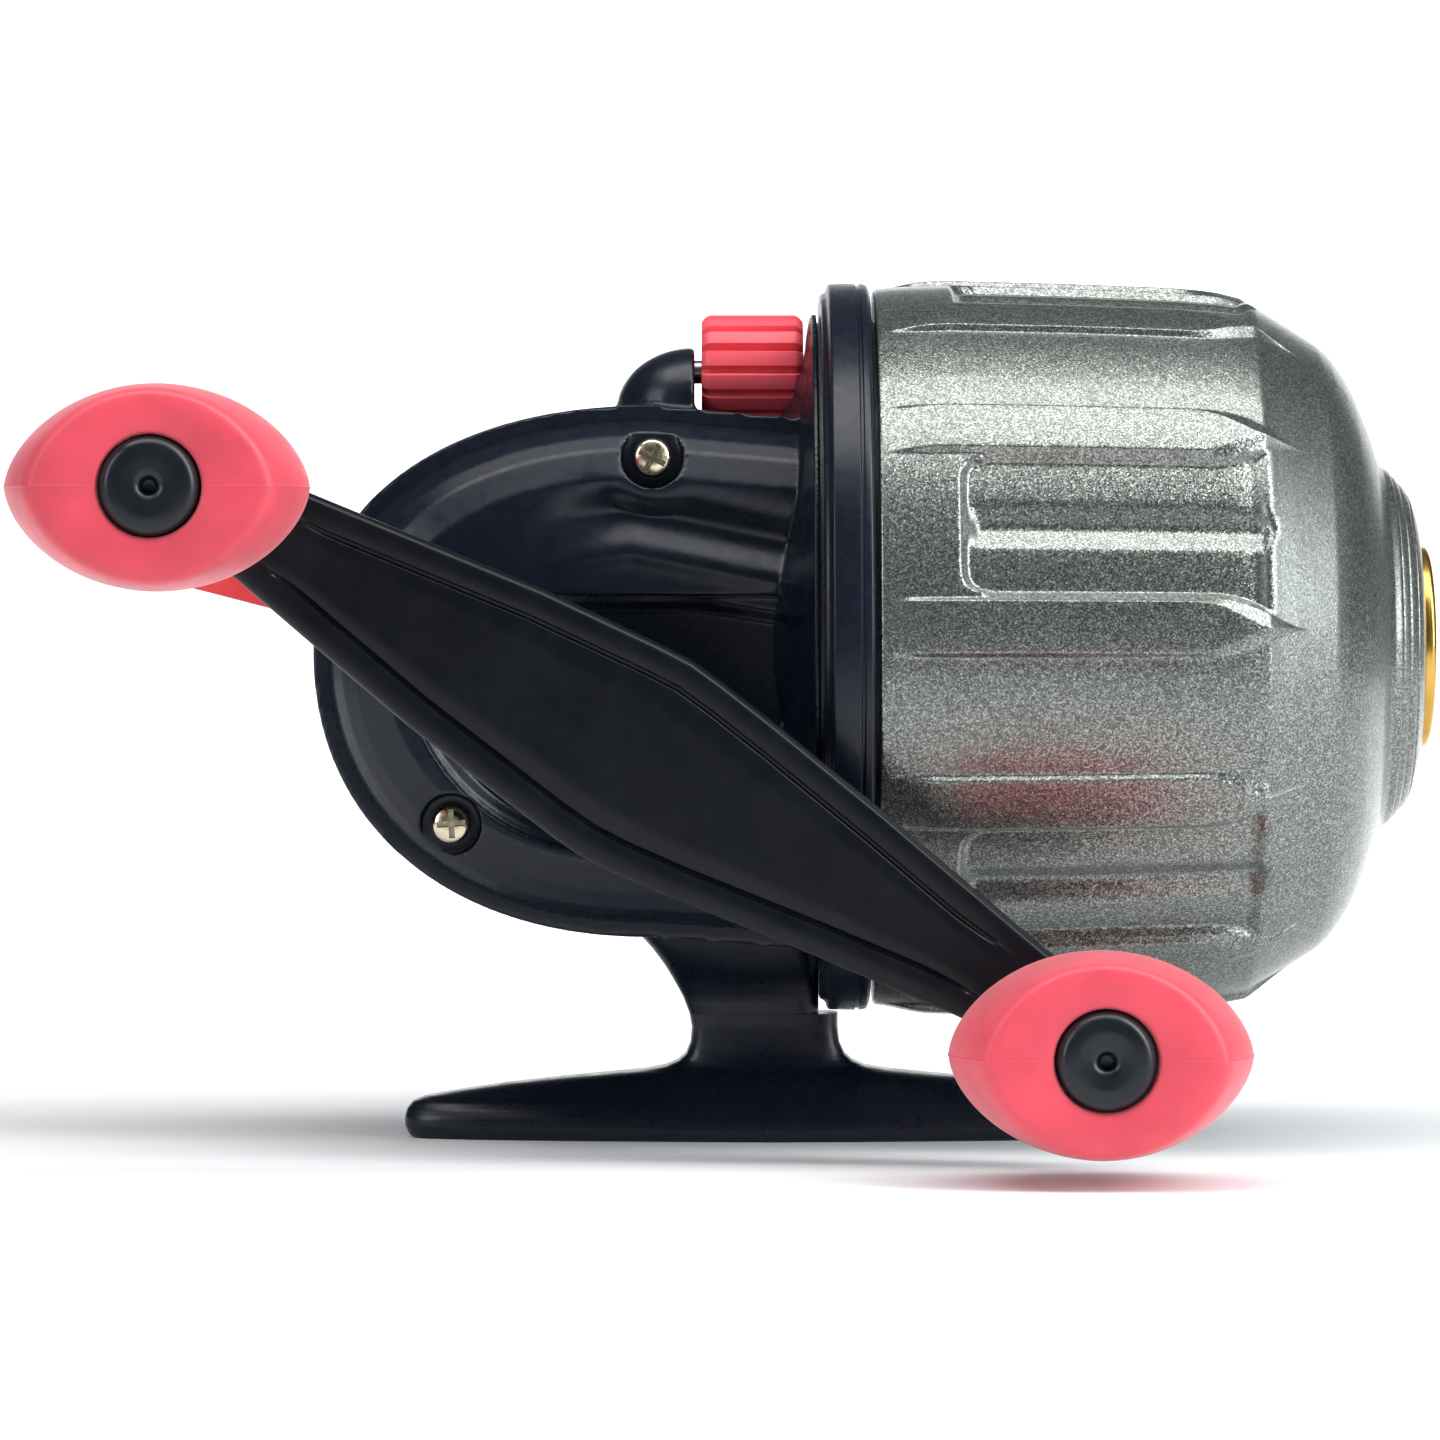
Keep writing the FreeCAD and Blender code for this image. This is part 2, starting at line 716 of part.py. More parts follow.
def deck_plate():
    """The plate that closes the housing and carries spool, bearing and cover."""
    body = new_body("deck_plate")
    inner = D.deck_radius - D.deck_rim_wall
    turn(body, outline(body, "XZ_Plane", [
        (D.housing_front, 4.2),
        (D.housing_front, D.drag_bore - 2.2),
        (D.drag_rear + 0.2, D.drag_bore - 2.2),
        (D.drag_rear + 0.2, D.drag_bore - D.running_gap),
        (D.drag_front, D.drag_bore - D.running_gap),
        (D.housing_front, D.drag_bore - D.running_gap),
        (D.housing_front, D.deck_radius),
        (D.deck_rim_front, D.deck_radius),
        (D.deck_rim_front, inner),
        (D.deck_front, inner),
        (D.deck_front, D.hub_radius + 2),
        (D.deck_front + 1.4, D.hub_radius + 2),
        (D.deck_front + 1.4, 4.2),
    ]))
    axle_hole = round_outline(body, "YZ_Plane", 0, D.dial_height - D.axis_height, 1.05)
    pocket(body, axle_hole, D.deck_front + 1, reverse=True)
    hole = round_outline(body, "YZ_Plane", 0, 12.0, 1.25)
    repeat(body, pocket(body, hole, D.deck_front + 1, reverse=True), "X_Axis", 3)
    place(body, *LINE_AXIS)
    return finish(body, "deck_plate")


def cover_line(lift):
    """The front cover's outer outline from rear to nose, raised by a lift."""
    return [
        (D.cover_rear, D.cover_radius - 0.4 + lift),
        (D.cover_rear + 6, D.cover_radius + lift),
        (D.cover_shoulder - 3, D.cover_radius - 0.9 + lift),
        (D.cover_shoulder, D.cover_radius - 1.7 + lift),
        (D.cover_shoulder + 5.8, D.cover_radius - 5.3 + lift),
        (D.cover_shoulder + 7.9, D.cover_radius - 8.6 + lift),
        (D.cover_shoulder + 9.3, D.cover_radius - 11.6 + lift),
        (D.cover_nose, D.cover_nose_radius + lift),
    ]


def front_cover():
    body = new_body("front_cover")
    wall = D.cover_wall
    nose = [
        (D.cover_nose + 0.4, D.cover_nose_radius),
        (D.cover_nose + 1.9, D.cover_nose_radius - 2.2),
        (D.cover_nose + 3.0, D.cover_nose_radius - 4.8),
        (D.cover_nose + 3.6, D.guide_radius - 0.4),
        (D.cover_nose + 3.6, D.guide_radius - 2.0),
        (D.cover_nose + 1.6, D.guide_radius - 2.0),
    ]
    inside = [
        (D.cover_nose - 1.2, D.cover_nose_radius - 3.2),
        (D.cover_shoulder + 6.6, D.cover_radius - 11.6),
        (D.cover_shoulder + 4.2, D.cover_radius - 7.2),
        (D.cover_shoulder - 1.0, D.cover_radius - 1.6 - wall),
        (D.deck_rim_front + 1, D.cover_radius - 0.9 - wall),
        (D.deck_rim_front + 1, D.deck_radius + 0.1),
        (D.cover_rear, D.deck_radius + 0.1),
    ]
    turn(body, outline(body, "XZ_Plane", cover_line(D.rib_height) + nose + inside))
    field = [
        (D.cover_rear + 2, D.cover_radius - 0.2),
        (D.cover_shoulder - 3, D.cover_radius - 0.9),
        (D.cover_shoulder, D.cover_radius - 1.7),
        (D.cover_shoulder + 5.3, D.cover_radius - 5.0),
        (D.cover_shoulder + 5.8, D.cover_radius + 2),
        (D.cover_rear + 2, D.cover_radius + 2),
    ]
    wide = outline(body, "XZ_Plane", field)
    repeat(body, groove(body, wide, D.wide_field), "X_Axis", D.cover_sectors)
    narrow = outline(body, "XY_Plane", field)
    repeat(body, groove(body, narrow, D.narrow_field), "X_Axis", D.cover_sectors)
    panel = outline(body, "XZ_Plane", [
        (D.cover_rear + 8, D.cover_radius - 0.9),
        (D.cover_shoulder - 1.5, D.cover_radius - 1.9),
        (D.cover_shoulder - 1.5, D.cover_radius + 2),
        (D.cover_rear + 8, D.cover_radius + 2),
    ])
    repeat(body, groove(body, panel, D.panel_width), "X_Axis", D.cover_sectors)
    body.Placement = Placement(Vector(0, 0, 0), Rotation(X_DIR, float(D.cover_clocking)))
    place(body, *LINE_AXIS)
    drive(body, "Placement.Rotation.Angle", D.cover_clocking)
    return finish(body, "front_cover")


def line_guide():
    """The smooth round bushing in the nose that the line leaves through."""
    seat = D.guide_radius - 2.0
    return turned("line_guide", [
        (D.cover_nose + 0.6, D.guide_bore + 0.6),
        (D.cover_nose + 0.6, seat - 0.02),
        (D.cover_nose + 3.62, seat - 0.02),
        (D.cover_nose + 3.62, D.guide_radius),
        (D.guide_front - 1.0, D.guide_radius),
        (D.guide_front - 0.3, D.guide_radius - 0.4),
        (D.guide_front, D.guide_radius - 1.2),
        (D.guide_front, D.guide_bore + 1.6),
        (D.guide_front - 0.5, D.guide_bore + 0.5),
        (D.guide_front - 1.4, D.guide_bore),
        (D.cover_nose + 1.6, D.guide_bore),
    ], at=LINE_AXIS)


# ---------------------------------------------------------------- thumb button


def thumb_button():
    """The thumb lever: a curved paddle behind the housing, hinged low inside it."""
    pivot_x, pivot_z, half = number_of(D.thumb_pivot_x, D.thumb_pivot_z, D.thumb_half_width)
    lower = [Vector(-35.6, 0, 42.9), Vector(-41.5, 0, 45.1), Vector(-50.4, 0, 47.4)]
    tip = [Vector(-52.0, 0, 50.2), Vector(-50.9, 0, 54.2)]
    upper = [Vector(-46.0, 0, 52.3), Vector(-40.0, 0, 52.2), Vector(-34.0, 0, 52.9)]
    root = [Vector(-31.0, 0, 50.5), Vector(-29.8, 0, 46.0), Vector(-29.4, 0, 33.0), Vector(-33.4, 0, 33.0)]
    saddle = Part.BSplineCurve()
    saddle.interpolate([tip[1]] + upper)
    edges = [Part.makeLine(a, b) for a, b in zip(lower, lower[1:])]
    edges.append(Part.Arc(lower[-1], tip[0], tip[1]).toShape())
    edges.append(saddle.toShape())
    edges += [Part.makeLine(a, b) for a, b in zip([upper[-1]] + root, root + [lower[0]])]
    face = Part.Face(Part.Wire(edges))
    face.translate(Vector(0, -half, 0))
    lever = face.extrude(Vector(0, 2 * half, 0))
    knuckle = boss(pivot_x, pivot_z, 2.6, -half, half)
    nose = Part.makeSphere(2.2, Vector(pivot_x + 0.1, 0, float(D.axis_height)))
    hollow = block(-40, -28, 2.2 - half, half - 2.2, 27, 39.0)
    lever = lever.fuse(knuckle).cut(hollow).fuse(nose).cut(boss(pivot_x, pivot_z, 1.25, -half, half))
    return solid("thumb_button", lever.removeSplitter())


# ---------------------------------------------------------------- crank and knobs


def along_arm(reach, across, y):
    """A point on the crank arm, from its distance along and across the arm."""
    angle = math.radians(float(D.crank_angle))
    x = float(D.crank_x) + reach * math.cos(angle) + across * math.sin(angle)
    z = float(D.crank_z) - reach * math.sin(angle) + across * math.cos(angle)
    return Vector(x, y, z)


def arm_wire(inset, y):
    """The arm's outline: widest just past the middle, with round ends under the knobs."""
    reach, half, tip = number_of(D.knob_reach, D.arm_half_width, D.arm_tip_radius)
    half, tip = half - inset, tip - inset
    lean = 1.0
    corners = [(-reach, tip + 0.4), (-lean, half), (reach, tip - 0.4)]
    upper = [along_arm(u, v, y) for u, v in corners]
    lower = [along_arm(-u, -v, y) for u, v in corners]
    edges = [
        Part.makeLine(upper[0], upper[1]),
        Part.makeLine(upper[1], upper[2]),
        Part.Arc(upper[2], along_arm(reach + tip, 0, y), lower[0]).toShape(),
        Part.makeLine(lower[0], lower[1]),
        Part.makeLine(lower[1], lower[2]),
        Part.Arc(lower[2], along_arm(-reach - tip, 0, y), upper[0]).toShape(),
    ]
    return Part.Wire(edges)


def crank_arm():
    rear, front = number_of(D.arm_rear, D.arm_front)
    arm = Part.makeLoft([arm_wire(0.6, rear), arm_wire(0, rear - 0.8), arm_wire(0, front + 0.9),
                         arm_wire(0.9, front)], True, True)
    recess = Part.makeLoft([arm_wire(2.2, front + 0.7), arm_wire(1.8, front - 0.1)], True, True)
    seats = [tuple(along_arm(side * float(D.knob_reach), 0, -28)) for side in (-1, 1)]
    for seat in seats:
        recess = recess.cut(cylinder(6.2, 0, 20, -Y_DIR, seat))
    arm = arm.cut(recess)
    hub = boss(D.crank_x, D.crank_z, 6.2, -24.0, rear - 0.5)
    arm = arm.fuse(hub.cut(boss(D.crank_x, D.crank_z, 3.0, -26, -20)))
    arm = arm.cut(boss(D.crank_x, D.crank_z, D.shaft_radius, -33.6, -20))
    for seat in seats:
        arm = arm.cut(cylinder(D.spindle_radius, 0, 20, -Y_DIR, seat))
    return solid("crank_arm", arm.removeSplitter())


def crankshaft():
    return turned("crankshaft", [
        (-33.6, 0),
        (-33.6, D.shaft_radius),
        (15.2, D.shaft_radius),
        (15.8, D.shaft_radius - 0.6),
        (15.8, 0),
    ], axis="Y", at=CRANK_AXIS)


def bushes():
    """The crankshaft's two plain bearings, one in each wall."""
    gap = D.shaft_radius + D.running_gap
    turned("crank_bush_near", [(-21.9, gap), (-21.9, 5.4), (-21.5, 5.4), (-21.5, 4.6),
                               (-15.0, 4.6), (-15.0, gap)], axis="Y", at=CRANK_AXIS)
    turned("crank_bush_far", tube(10.5, 16.0, gap, 4.2), axis="Y", at=CRANK_AXIS)
    turned("crank_washer", tube(-24.0, -22.2, D.shaft_radius, 5.6), axis="Y", at=CRANK_AXIS)
    turned("crank_clip", tube(9.4, 10.2, D.shaft_radius, 5.0), axis="Y", at=CRANK_AXIS)


def knob_wire(scale, y, centre):
    """A pointed oval: an upper and a lower curve that meet at the left and right ends."""
    length = float(D.knob_half_length) * scale
    height = float(D.knob_half_height) * scale
    steps = 12
    halves = []
    for side in (1, -1):
        points = []
        for i in range(steps + 1):
            angle = math.pi * i / steps
            rise = side * height * math.sin(angle) ** 1.3
            points.append(Vector(centre.x + side * length * math.cos(angle), y, centre.z + rise))
        curve = Part.BSplineCurve()
        curve.interpolate(points)
        halves.append(curve.toShape())
    return Part.Wire(halves)


def knob(name, side):
    """One grip, its cap and the spindle that it turns on."""
    rear, front = number_of(D.knob_rear, D.knob_front)
    centre = along_arm(side * float(D.knob_reach), 0, 0)
    length = front - rear
    sections = [(0.0, 0.62), (0.1, 0.80), (0.42, 1.0), (0.62, 0.99), (0.92, 0.86), (1.0, 0.78)]
    wires = [knob_wire(scale, rear + length * part, centre) for part, scale in sections]
    grip = Part.makeLoft(wires, True, False)
    spot = (centre.x, 0, centre.z)
    bore = float(D.spindle_radius) + float(D.running_gap)
    grip = grip.cut(boss(centre.x, centre.z, bore, front - 1, rear + 1))
    grip = grip.cut(boss(centre.x, centre.z, D.knob_cap_radius, front - 1, front + 3.2))
    solid("knob_" + name, grip.removeSplitter())
    cap_radius = float(D.knob_cap_radius)
    turned("knob_cap_" + name, [
        (front + 1.4, 0),
        (front + 1.4, cap_radius - 0.01),
        (front, cap_radius - 0.01),
        (front - 0.6, cap_radius - 0.6),
        (front - 0.6, 1.3),
        (front + 0.1, 0.5),
        (front + 0.1, 0),
    ], axis="Y", at=spot)
    pin = float(D.spindle_radius)
    turned("knob_spindle_" + name, [
        (D.arm_rear + 0.6, 0),
        (D.arm_rear + 0.6, pin + 1),
        (D.arm_rear, pin + 1),
        (D.arm_rear, pin),
        (front + 3.1, pin),
        (front + 3.1, pin + 0.9),
        (front + 2.1, pin + 0.9),
        (front + 2.1, 0),
    ], axis="Y", at=spot)


# ---------------------------------------------------------------- drive gears and anti-reverse


def drive_gear():
    """The face gear on the crankshaft. Its teeth lie along lines that miss the axis by the offset."""
    body = new_body("drive_gear")
    offset = D.axis_height - D.crank_z
    turn(body, outline(body, "YZ_Plane", [
        (D.gear_back_y - 1.2, D.shaft_radius),
        (D.gear_back_y - 1.2, 5.0),
        (D.gear_back_y, 5.0),
        (D.gear_back_y, D.gear_radius),
        (D.gear_face_y, D.gear_radius),
        (D.gear_face_y, D.gear_radius - 2.4),
        (D.gear_face_y - 1.2, D.gear_radius - 3.0),
        (D.gear_face_y - 1.2, D.shaft_radius),
    ]))
    tooth = outline(body, "XZ_Plane", [
        (7.3, offset - 0.21),
        (8.9, offset - 0.21),
        (8.9, offset + 0.21),
        (7.3, offset + 0.21),
    ], offset=-D.gear_tooth_y)
    repeat(body, extrude(body, tooth, D.gear_tooth_y - D.gear_face_y), "Y_Axis", D.gear_teeth)
    place(body, *CRANK_AXIS)
    return finish(body, "drive_gear")


def spur_teeth(body, count, root, tip, root_half, tip_half, start, length, clocking=0.0):
    """Straight teeth round the body's X axis, each a short wedge."""
    angle = math.radians(clocking)
    corners = []
    foot = root - 0.2
    for half, radius in ((-root_half, foot), (-tip_half, tip), (tip_half, tip), (root_half, foot)):
        half, radius = float(half), float(radius)
        corners.append((half * math.cos(angle) - radius * math.sin(angle),
                        half * math.sin(angle) + radius * math.cos(angle)))
    tooth = extrude(body, outline(body, "YZ_Plane", corners, offset=start), length)
    return repeat(body, tooth, "X_Axis", count)


def pinion():
    """The steel pinion on the line axis: teeth, and a journal at each end."""
    body = new_body("pinion")
    bore = D.centre_radius + D.running_gap
    turn(body, outline(body, "XZ_Plane", [
        (-13.2, bore),
        (-13.2, 2.2),
        (D.pinion_rear, 2.2),
        (D.pinion_rear, D.pinion_root),
        (D.pinion_front, D.pinion_root),
        (D.pinion_front, 2.6),
        (D.deck_front + 1.0, 2.6),
        (D.deck_front + 1.0, bore),
    ]))
    half_pitch = 180.0 / float(D.pinion_teeth)
    spur_teeth(body, D.pinion_teeth, D.pinion_root, D.pinion_radius, 0.28, 0.15,
               D.pinion_rear, D.pinion_front - D.pinion_rear, clocking=90 + half_pitch)
    place(body, *LINE_AXIS)
    return finish(body, "pinion")


def pinion_bearings():
    turned("pinion_bush_rear", tube(-12.5, -9.0, 2.2 + D.running_gap, 3.2), at=LINE_AXIS)
    turned("pinion_bush_front", tube(D.housing_front - 2.0, D.deck_front + 1.2, 2.6 + D.running_gap, 4.2),
           at=LINE_AXIS)


def ratchet_wheel():
    """Twelve saw teeth on the crankshaft that the pawl drops into."""
    body = new_body("ratchet_wheel")
    thickness = D.ratchet_far - D.ratchet_near
    rim = tube(D.ratchet_near, D.ratchet_far, D.shaft_radius, D.ratchet_root)
    turn(body, outline(body, "YZ_Plane", rim))
    tip, root = D.ratchet_radius, D.ratchet_root - 0.4
    tooth_corners = []
    for angle, radius in ((0, root), (0, tip), (4, tip), (20, root)):
        turned_by = math.radians(angle + 16.5)
        tooth_corners.append((radius * -math.cos(turned_by), radius * math.sin(turned_by)))
    tooth = outline(body, "XZ_Plane", tooth_corners, offset=-D.ratchet_far)
    repeat(body, extrude(body, tooth, thickness), "Y_Axis", D.ratchet_teeth)
    place(body, *CRANK_AXIS)
    return finish(body, "ratchet_wheel")


def anti_reverse_pawl():
    """The pawl, held clear of the ratchet's teeth, and the pin that it swings on."""
    pivot_x, pivot_z, reach, angle = number_of(D.pawl_x, D.pawl_z, D.pawl_reach, D.pawl_rest_angle)
    near, far = number_of(D.ratchet_near, D.ratchet_far)
    corners = [Vector(x, near, z) for x, z in ((0.5, 1.9), (reach, 0.45), (reach, -0.45), (0.5, -1.9))]
    arm = Part.Face(Part.makePolygon(corners + corners[:1])).extrude(Vector(0, far - near, 0))
    arm.rotate(Vector(0, 0, 0), Y_DIR, -angle)
    arm.translate(Vector(pivot_x, 0, pivot_z))
    eye = boss(pivot_x, pivot_z, 2.3, near, far)
    bore = boss(pivot_x, pivot_z, 0.95, near - 1, far + 1)
    solid("anti_reverse_pawl", eye.fuse(arm).cut(bore).removeSplitter())
    turned("pawl_pin", [
        (D.ratchet_near - 0.9, 0),
        (D.ratchet_near - 0.9, 1.9),
        (D.ratchet_near - 0.1, 1.9),
        (D.ratchet_near - 0.1, 0.9),
        (-2.5, 0.9),
        (-2.5, 0),
    ], axis="Y", at=(D.pawl_x, 0, D.pawl_z))


def pawl_spring():
    """The flat spring that leans on the pawl's back."""
    rear = Vector(-36.2, -9.6, 40.6)
    front = Vector(-21.2, -9.6, 40.1)
    thick = Vector(0, 0, 0.25)
    corners = [rear, front, front + thick, rear + thick, rear]
    return solid("pawl_spring", Part.Face(Part.makePolygon(corners)).extrude(Vector(0, 1.2, 0)))


# ---------------------------------------------------------------- centre shaft, spinner head and spool


def centre_shaft():
    """The push rod that the thumb button drives forward, and its spring collar."""
    return turned("centre_shaft", [
        (D.centre_rear, 0),
        (D.centre_rear, 1.0),
        (D.centre_rear + 0.5, D.centre_radius),
        (D.centre_rear + 2.4, D.centre_radius),
        (D.centre_rear + 2.4, 2.9),
        (D.centre_rear + 3.4, 2.9),
        (D.centre_rear + 3.4, D.centre_radius),
        (D.centre_front - 0.3, D.centre_radius),
        (D.centre_front, D.centre_radius - 0.3),
        (D.centre_front, 0),
    ], at=LINE_AXIS)


def shaft_spring():
    """The return spring round the centre shaft, from its collar to the pinion's rear face."""
    wire_radius = 0.3
    start = float(D.centre_rear) + 3.4 + wire_radius + 0.02
    end = -13.2 - wire_radius - 0.02
    foot = Vector(start, 0, float(D.axis_height))
    return solid("shaft_spring", coil(wire_radius, 2.3, end - start, 6, foot, X_DIR))


def spinner_head():
    """The cup in front of the spool that winds the line, with its guide for the pickup pin."""
    wall, radius = number_of(D.spinner_wall, D.spinner_radius)
    rear, front = number_of(D.spinner_rear, D.spinner_front)
    cup = turned_shape([
        (rear, radius - wall),
        (rear, radius - 0.4),
        (rear + 0.4, radius),
        (front - 3.5, radius),
        (front - 1.0, radius - 1.2),
        (front, radius - 4.0),
        (front, 4.0),
        (front + 1.2, 4.0),
        (front + 1.2, float(D.centre_radius)),
        (front - 3.4, float(D.centre_radius)),
        (front - 3.4, 4.0),
        (front - wall, 4.0),
        (front - wall, radius - 4.6),
        (front - 2.6, radius - wall - 1.2),
        (front - 4.4, radius - wall),
    ], D.axis_height)
    inner_end = 16.6
    spot = (D.pickup_x, 0, D.axis_height)
    guide = cylinder(2.2, inner_end, radius - wall / 2 - inner_end, Z_DIR, spot)
    web = block(D.pickup_x, front - wall / 2, -1.2, 1.2, float(D.axis_height) + inner_end,
                float(D.axis_height) + radius - 4.5)
    cup = cup.fuse(guide).fuse(web)
    bore = cylinder(float(D.pickup_radius) + float(D.running_gap), inner_end - 1, 12, Z_DIR, spot)
    cup = cup.cut(bore)
    return solid("spinner_head", cup.removeSplitter())


def spinner_nut():
    body = new_body("spinner_nut")
    corners = []
    for i in range(6):
        angle = math.radians(60 * i)
        corners.append((3.2 * math.cos(angle), 3.2 * math.sin(angle)))
    start = D.spinner_front + 1.2
    extrude(body, outline(body, "YZ_Plane", corners, offset=start), 2.2)
    hole = round_outline(body, "YZ_Plane", 0, 0, D.centre_radius, offset=start)
    pocket(body, hole, 3, reverse=True)
    place(body, *LINE_AXIS)
    return finish(body, "spinner_nut")


def pickup_pin():
    """The hard pin that catches the line, and the pair of disc springs that draws it in."""
    height = D.axis_height
    turned("pickup_pin", [
        (0, height + 14.4),
        (1.9, height + 14.4),
        (1.9, height + 15.2),
        (D.pickup_radius, height + 15.2),
        (D.pickup_radius, height + 25.6),
        (D.pickup_radius - 0.4, height + 26.0),
        (0, height + 26.0),
    ], axis="Z", at=(D.pickup_x, 0, 0))
    turned("pickup_spring", [
        (D.pickup_radius + 0.04, height + 15.22),
        (D.pickup_radius + 0.04, height + 15.44),
        (1.74, height + 15.9),
        (D.pickup_radius + 0.04, height + 16.36),
        (D.pickup_radius + 0.04, height + 16.58),
        (2.0, height + 15.98),
        (2.0, height + 15.82),
    ], axis="Z", at=(D.pickup_x, 0, 0))


def pickup_cam():
    """The fixed two-lobed cam that pushes the pickup pin out again when the crank turns."""
    start = float(D.spool_front) + 4.6
    lobes = cylinder(12.4, start, 2.8, X_DIR, LINE_AXIS)
    height = float(D.axis_height)
    lobes = lobes.common(block(start - 1, start + 4, -15, 15, height - 9.6, height + 9.6))
    return solid("pickup_cam", lobes.cut(cylinder(5.01, start - 1, 6, X_DIR, LINE_AXIS)))


def spool_parts():
    """The fixed hub, the spool that can slip round it, the line, and the clip in front."""
    gap = D.running_gap
    hub_front = D.spool_front + 1.4
    turned("spool_hub", [
        (D.deck_front + 1.4, 2.2),
        (D.deck_front + 1.4, D.hub_radius),
        (D.spool_front + 0.3, D.hub_radius),
        (D.spool_front + 0.3, D.hub_radius - 0.7),
        (D.spool_front + 0.9, D.hub_radius - 0.7),
        (D.spool_front + 0.9, D.hub_radius),
        (hub_front, D.hub_radius),
        (hub_front, 5.0),
        (D.spool_front + 7.4, 5.0),
        (D.spool_front + 7.4, 2.2),
    ], at=LINE_AXIS)
    wall = D.spool_flange_wall
    turned("spool", [
        (D.spool_rear, D.hub_radius + gap),
        (D.spool_rear, D.spool_flange),
        (D.spool_rear + wall, D.spool_flange),
        (D.spool_rear + wall, D.spool_drum),
        (D.spool_front - wall, D.spool_drum),
        (D.spool_front - wall, D.spool_flange),
        (D.spool_front, D.spool_flange),
        (D.spool_front, D.spool_drum - 1),
        (D.spool_front - 2, D.hub_radius + 2),
        (D.spool_front, D.hub_radius + 2),
        (D.spool_front, D.hub_radius + gap),
    ], at=LINE_AXIS)
    turned("fishing_line", tube(D.spool_rear + wall, D.spool_front - wall, D.spool_drum, D.line_radius),
           at=LINE_AXIS)
    clip_rear = D.spool_front + 0.3
    turned("spool_clip", tube(clip_rear, clip_rear + 0.6, D.hub_radius - 0.7, D.hub_radius + 1.6),
           at=LINE_AXIS)


# ---------------------------------------------------------------- drag


def drag_dial():
    """The ribbed roller that the finger turns. Its ribs are the teeth that drive the drag gear."""
    body = new_body("drag_dial")
    chamfer = 0.5
    turn(body, outline(body, "XZ_Plane", [
        (D.dial_rear, D.dial_axle_radius + D.running_gap),
        (D.dial_rear, D.dial_root - chamfer),
        (D.dial_rear + chamfer, D.dial_root),
        (D.dial_front - chamfer, D.dial_root),
        (D.dial_front, D.dial_root - chamfer),
        (D.dial_front, D.dial_axle_radius + D.running_gap),
    ]))
    spur_teeth(body, D.dial_teeth, D.dial_root, D.dial_radius, 0.5, 0.36, D.dial_rear + chamfer,
               D.dial_front - D.dial_rear - 2 * chamfer, clocking=180 + 180 / float(D.dial_teeth))
    place(body, 0, 0, D.dial_height)
    return finish(body, "drag_dial")


def dial_axle():
    return turned("dial_axle", tube(-8.4, D.deck_front, 0, D.dial_axle_radius), at=(0, 0, D.dial_height))


def drag_gear():
    """The ring behind the deck plate that the dial turns. Its front face cams the drag pins."""
    body = new_body("drag_gear")
    turn(body, outline(body, "XZ_Plane", tube(D.drag_rear, D.drag_front, D.drag_bore, D.drag_root)))
    spur_teeth(body, D.drag_teeth, D.drag_root, D.drag_radius, 0.42, 0.3, D.drag_rear,
               D.drag_front - D.drag_rear)
    place(body, *LINE_AXIS)
    return finish(body, "drag_gear")


def drag_stack():
    """The pins that reach through the deck plate, the pressure plate and the felt washer."""
    body = new_body("drag_pins")
    bore = D.hub_radius + 0.01
    plate_rear, felt_rear = D.spool_rear - 2.2, D.spool_rear - 1.2
    pin = round_outline(body, "YZ_Plane", 0, 12.0, 1.2, offset=D.housing_front)
    repeat(body, extrude(body, pin, plate_rear - D.housing_front), "X_Axis", 3)
    place(body, *LINE_AXIS)
    finish(body, "drag_pins")
    turned("drag_plate", tube(plate_rear, felt_rear, bore, 15.0), at=LINE_AXIS)
    turned("drag_washer", tube(felt_rear, D.spool_rear - 0.05, bore, 14.0), at=LINE_AXIS)


def deck_screws():
    """Three screws that hold the deck plate to the housing's rim."""
    screws = []
    for angle in (60, 180, 300):
        spin = math.radians(angle)
        y = 23.4 * math.sin(spin)
        z = float(D.axis_height) + 23.4 * math.cos(spin)
        head = cylinder(2.2, D.deck_front, 1.3, X_DIR, (0, y, z))
        screws.append(head)
    return solid("deck_screws", Part.makeCompound(screws))


# ---------------------------------------------------------------- the whole reel

body_frame()
side_cover()
side_cover_screws()
reel_foot()
foot_screws()
collar_ring()
deck_plate()
deck_screws()
front_cover()
line_guide()
thumb_button()
turned("thumb_pivot_pin", tube(-9.5, 9.5, 0, 1.2), axis="Y", at=(D.thumb_pivot_x, 0, D.thumb_pivot_z))
crank_arm()
crankshaft()
bushes()
knob("rear", -1)
knob("front", 1)
drive_gear()
pinion()
pinion_bearings()
ratchet_wheel()
anti_reverse_pawl()
pawl_spring()
centre_shaft()
shaft_spring()
spinner_head()
spinner_nut()
pickup_pin()
pickup_cam()
spool_parts()
drag_dial()
dial_axle()
drag_gear()
drag_stack()

doc.recompute()

for thing in doc.Objects:
    failed = [state for state in thing.State if state in ("Invalid", "Error")]
    assert not failed, "%s did not build: %s" % (thing.Label, failed)
for piece in pieces:
    assert not piece.Shape.isNull(), piece.Label + " has no shape"
    assert piece.Shape.isValid(), piece.Label + " is not valid"

os.makedirs("parts", exist_ok=True)
for piece in pieces:
    piece.Shape.exportStep("parts/%s.step" % piece.Label)
    print("%-20s %3d solids %10.1f mm3" % (piece.Label, len(piece.Shape.Solids), piece.Shape.Volume))
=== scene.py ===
import json
import math

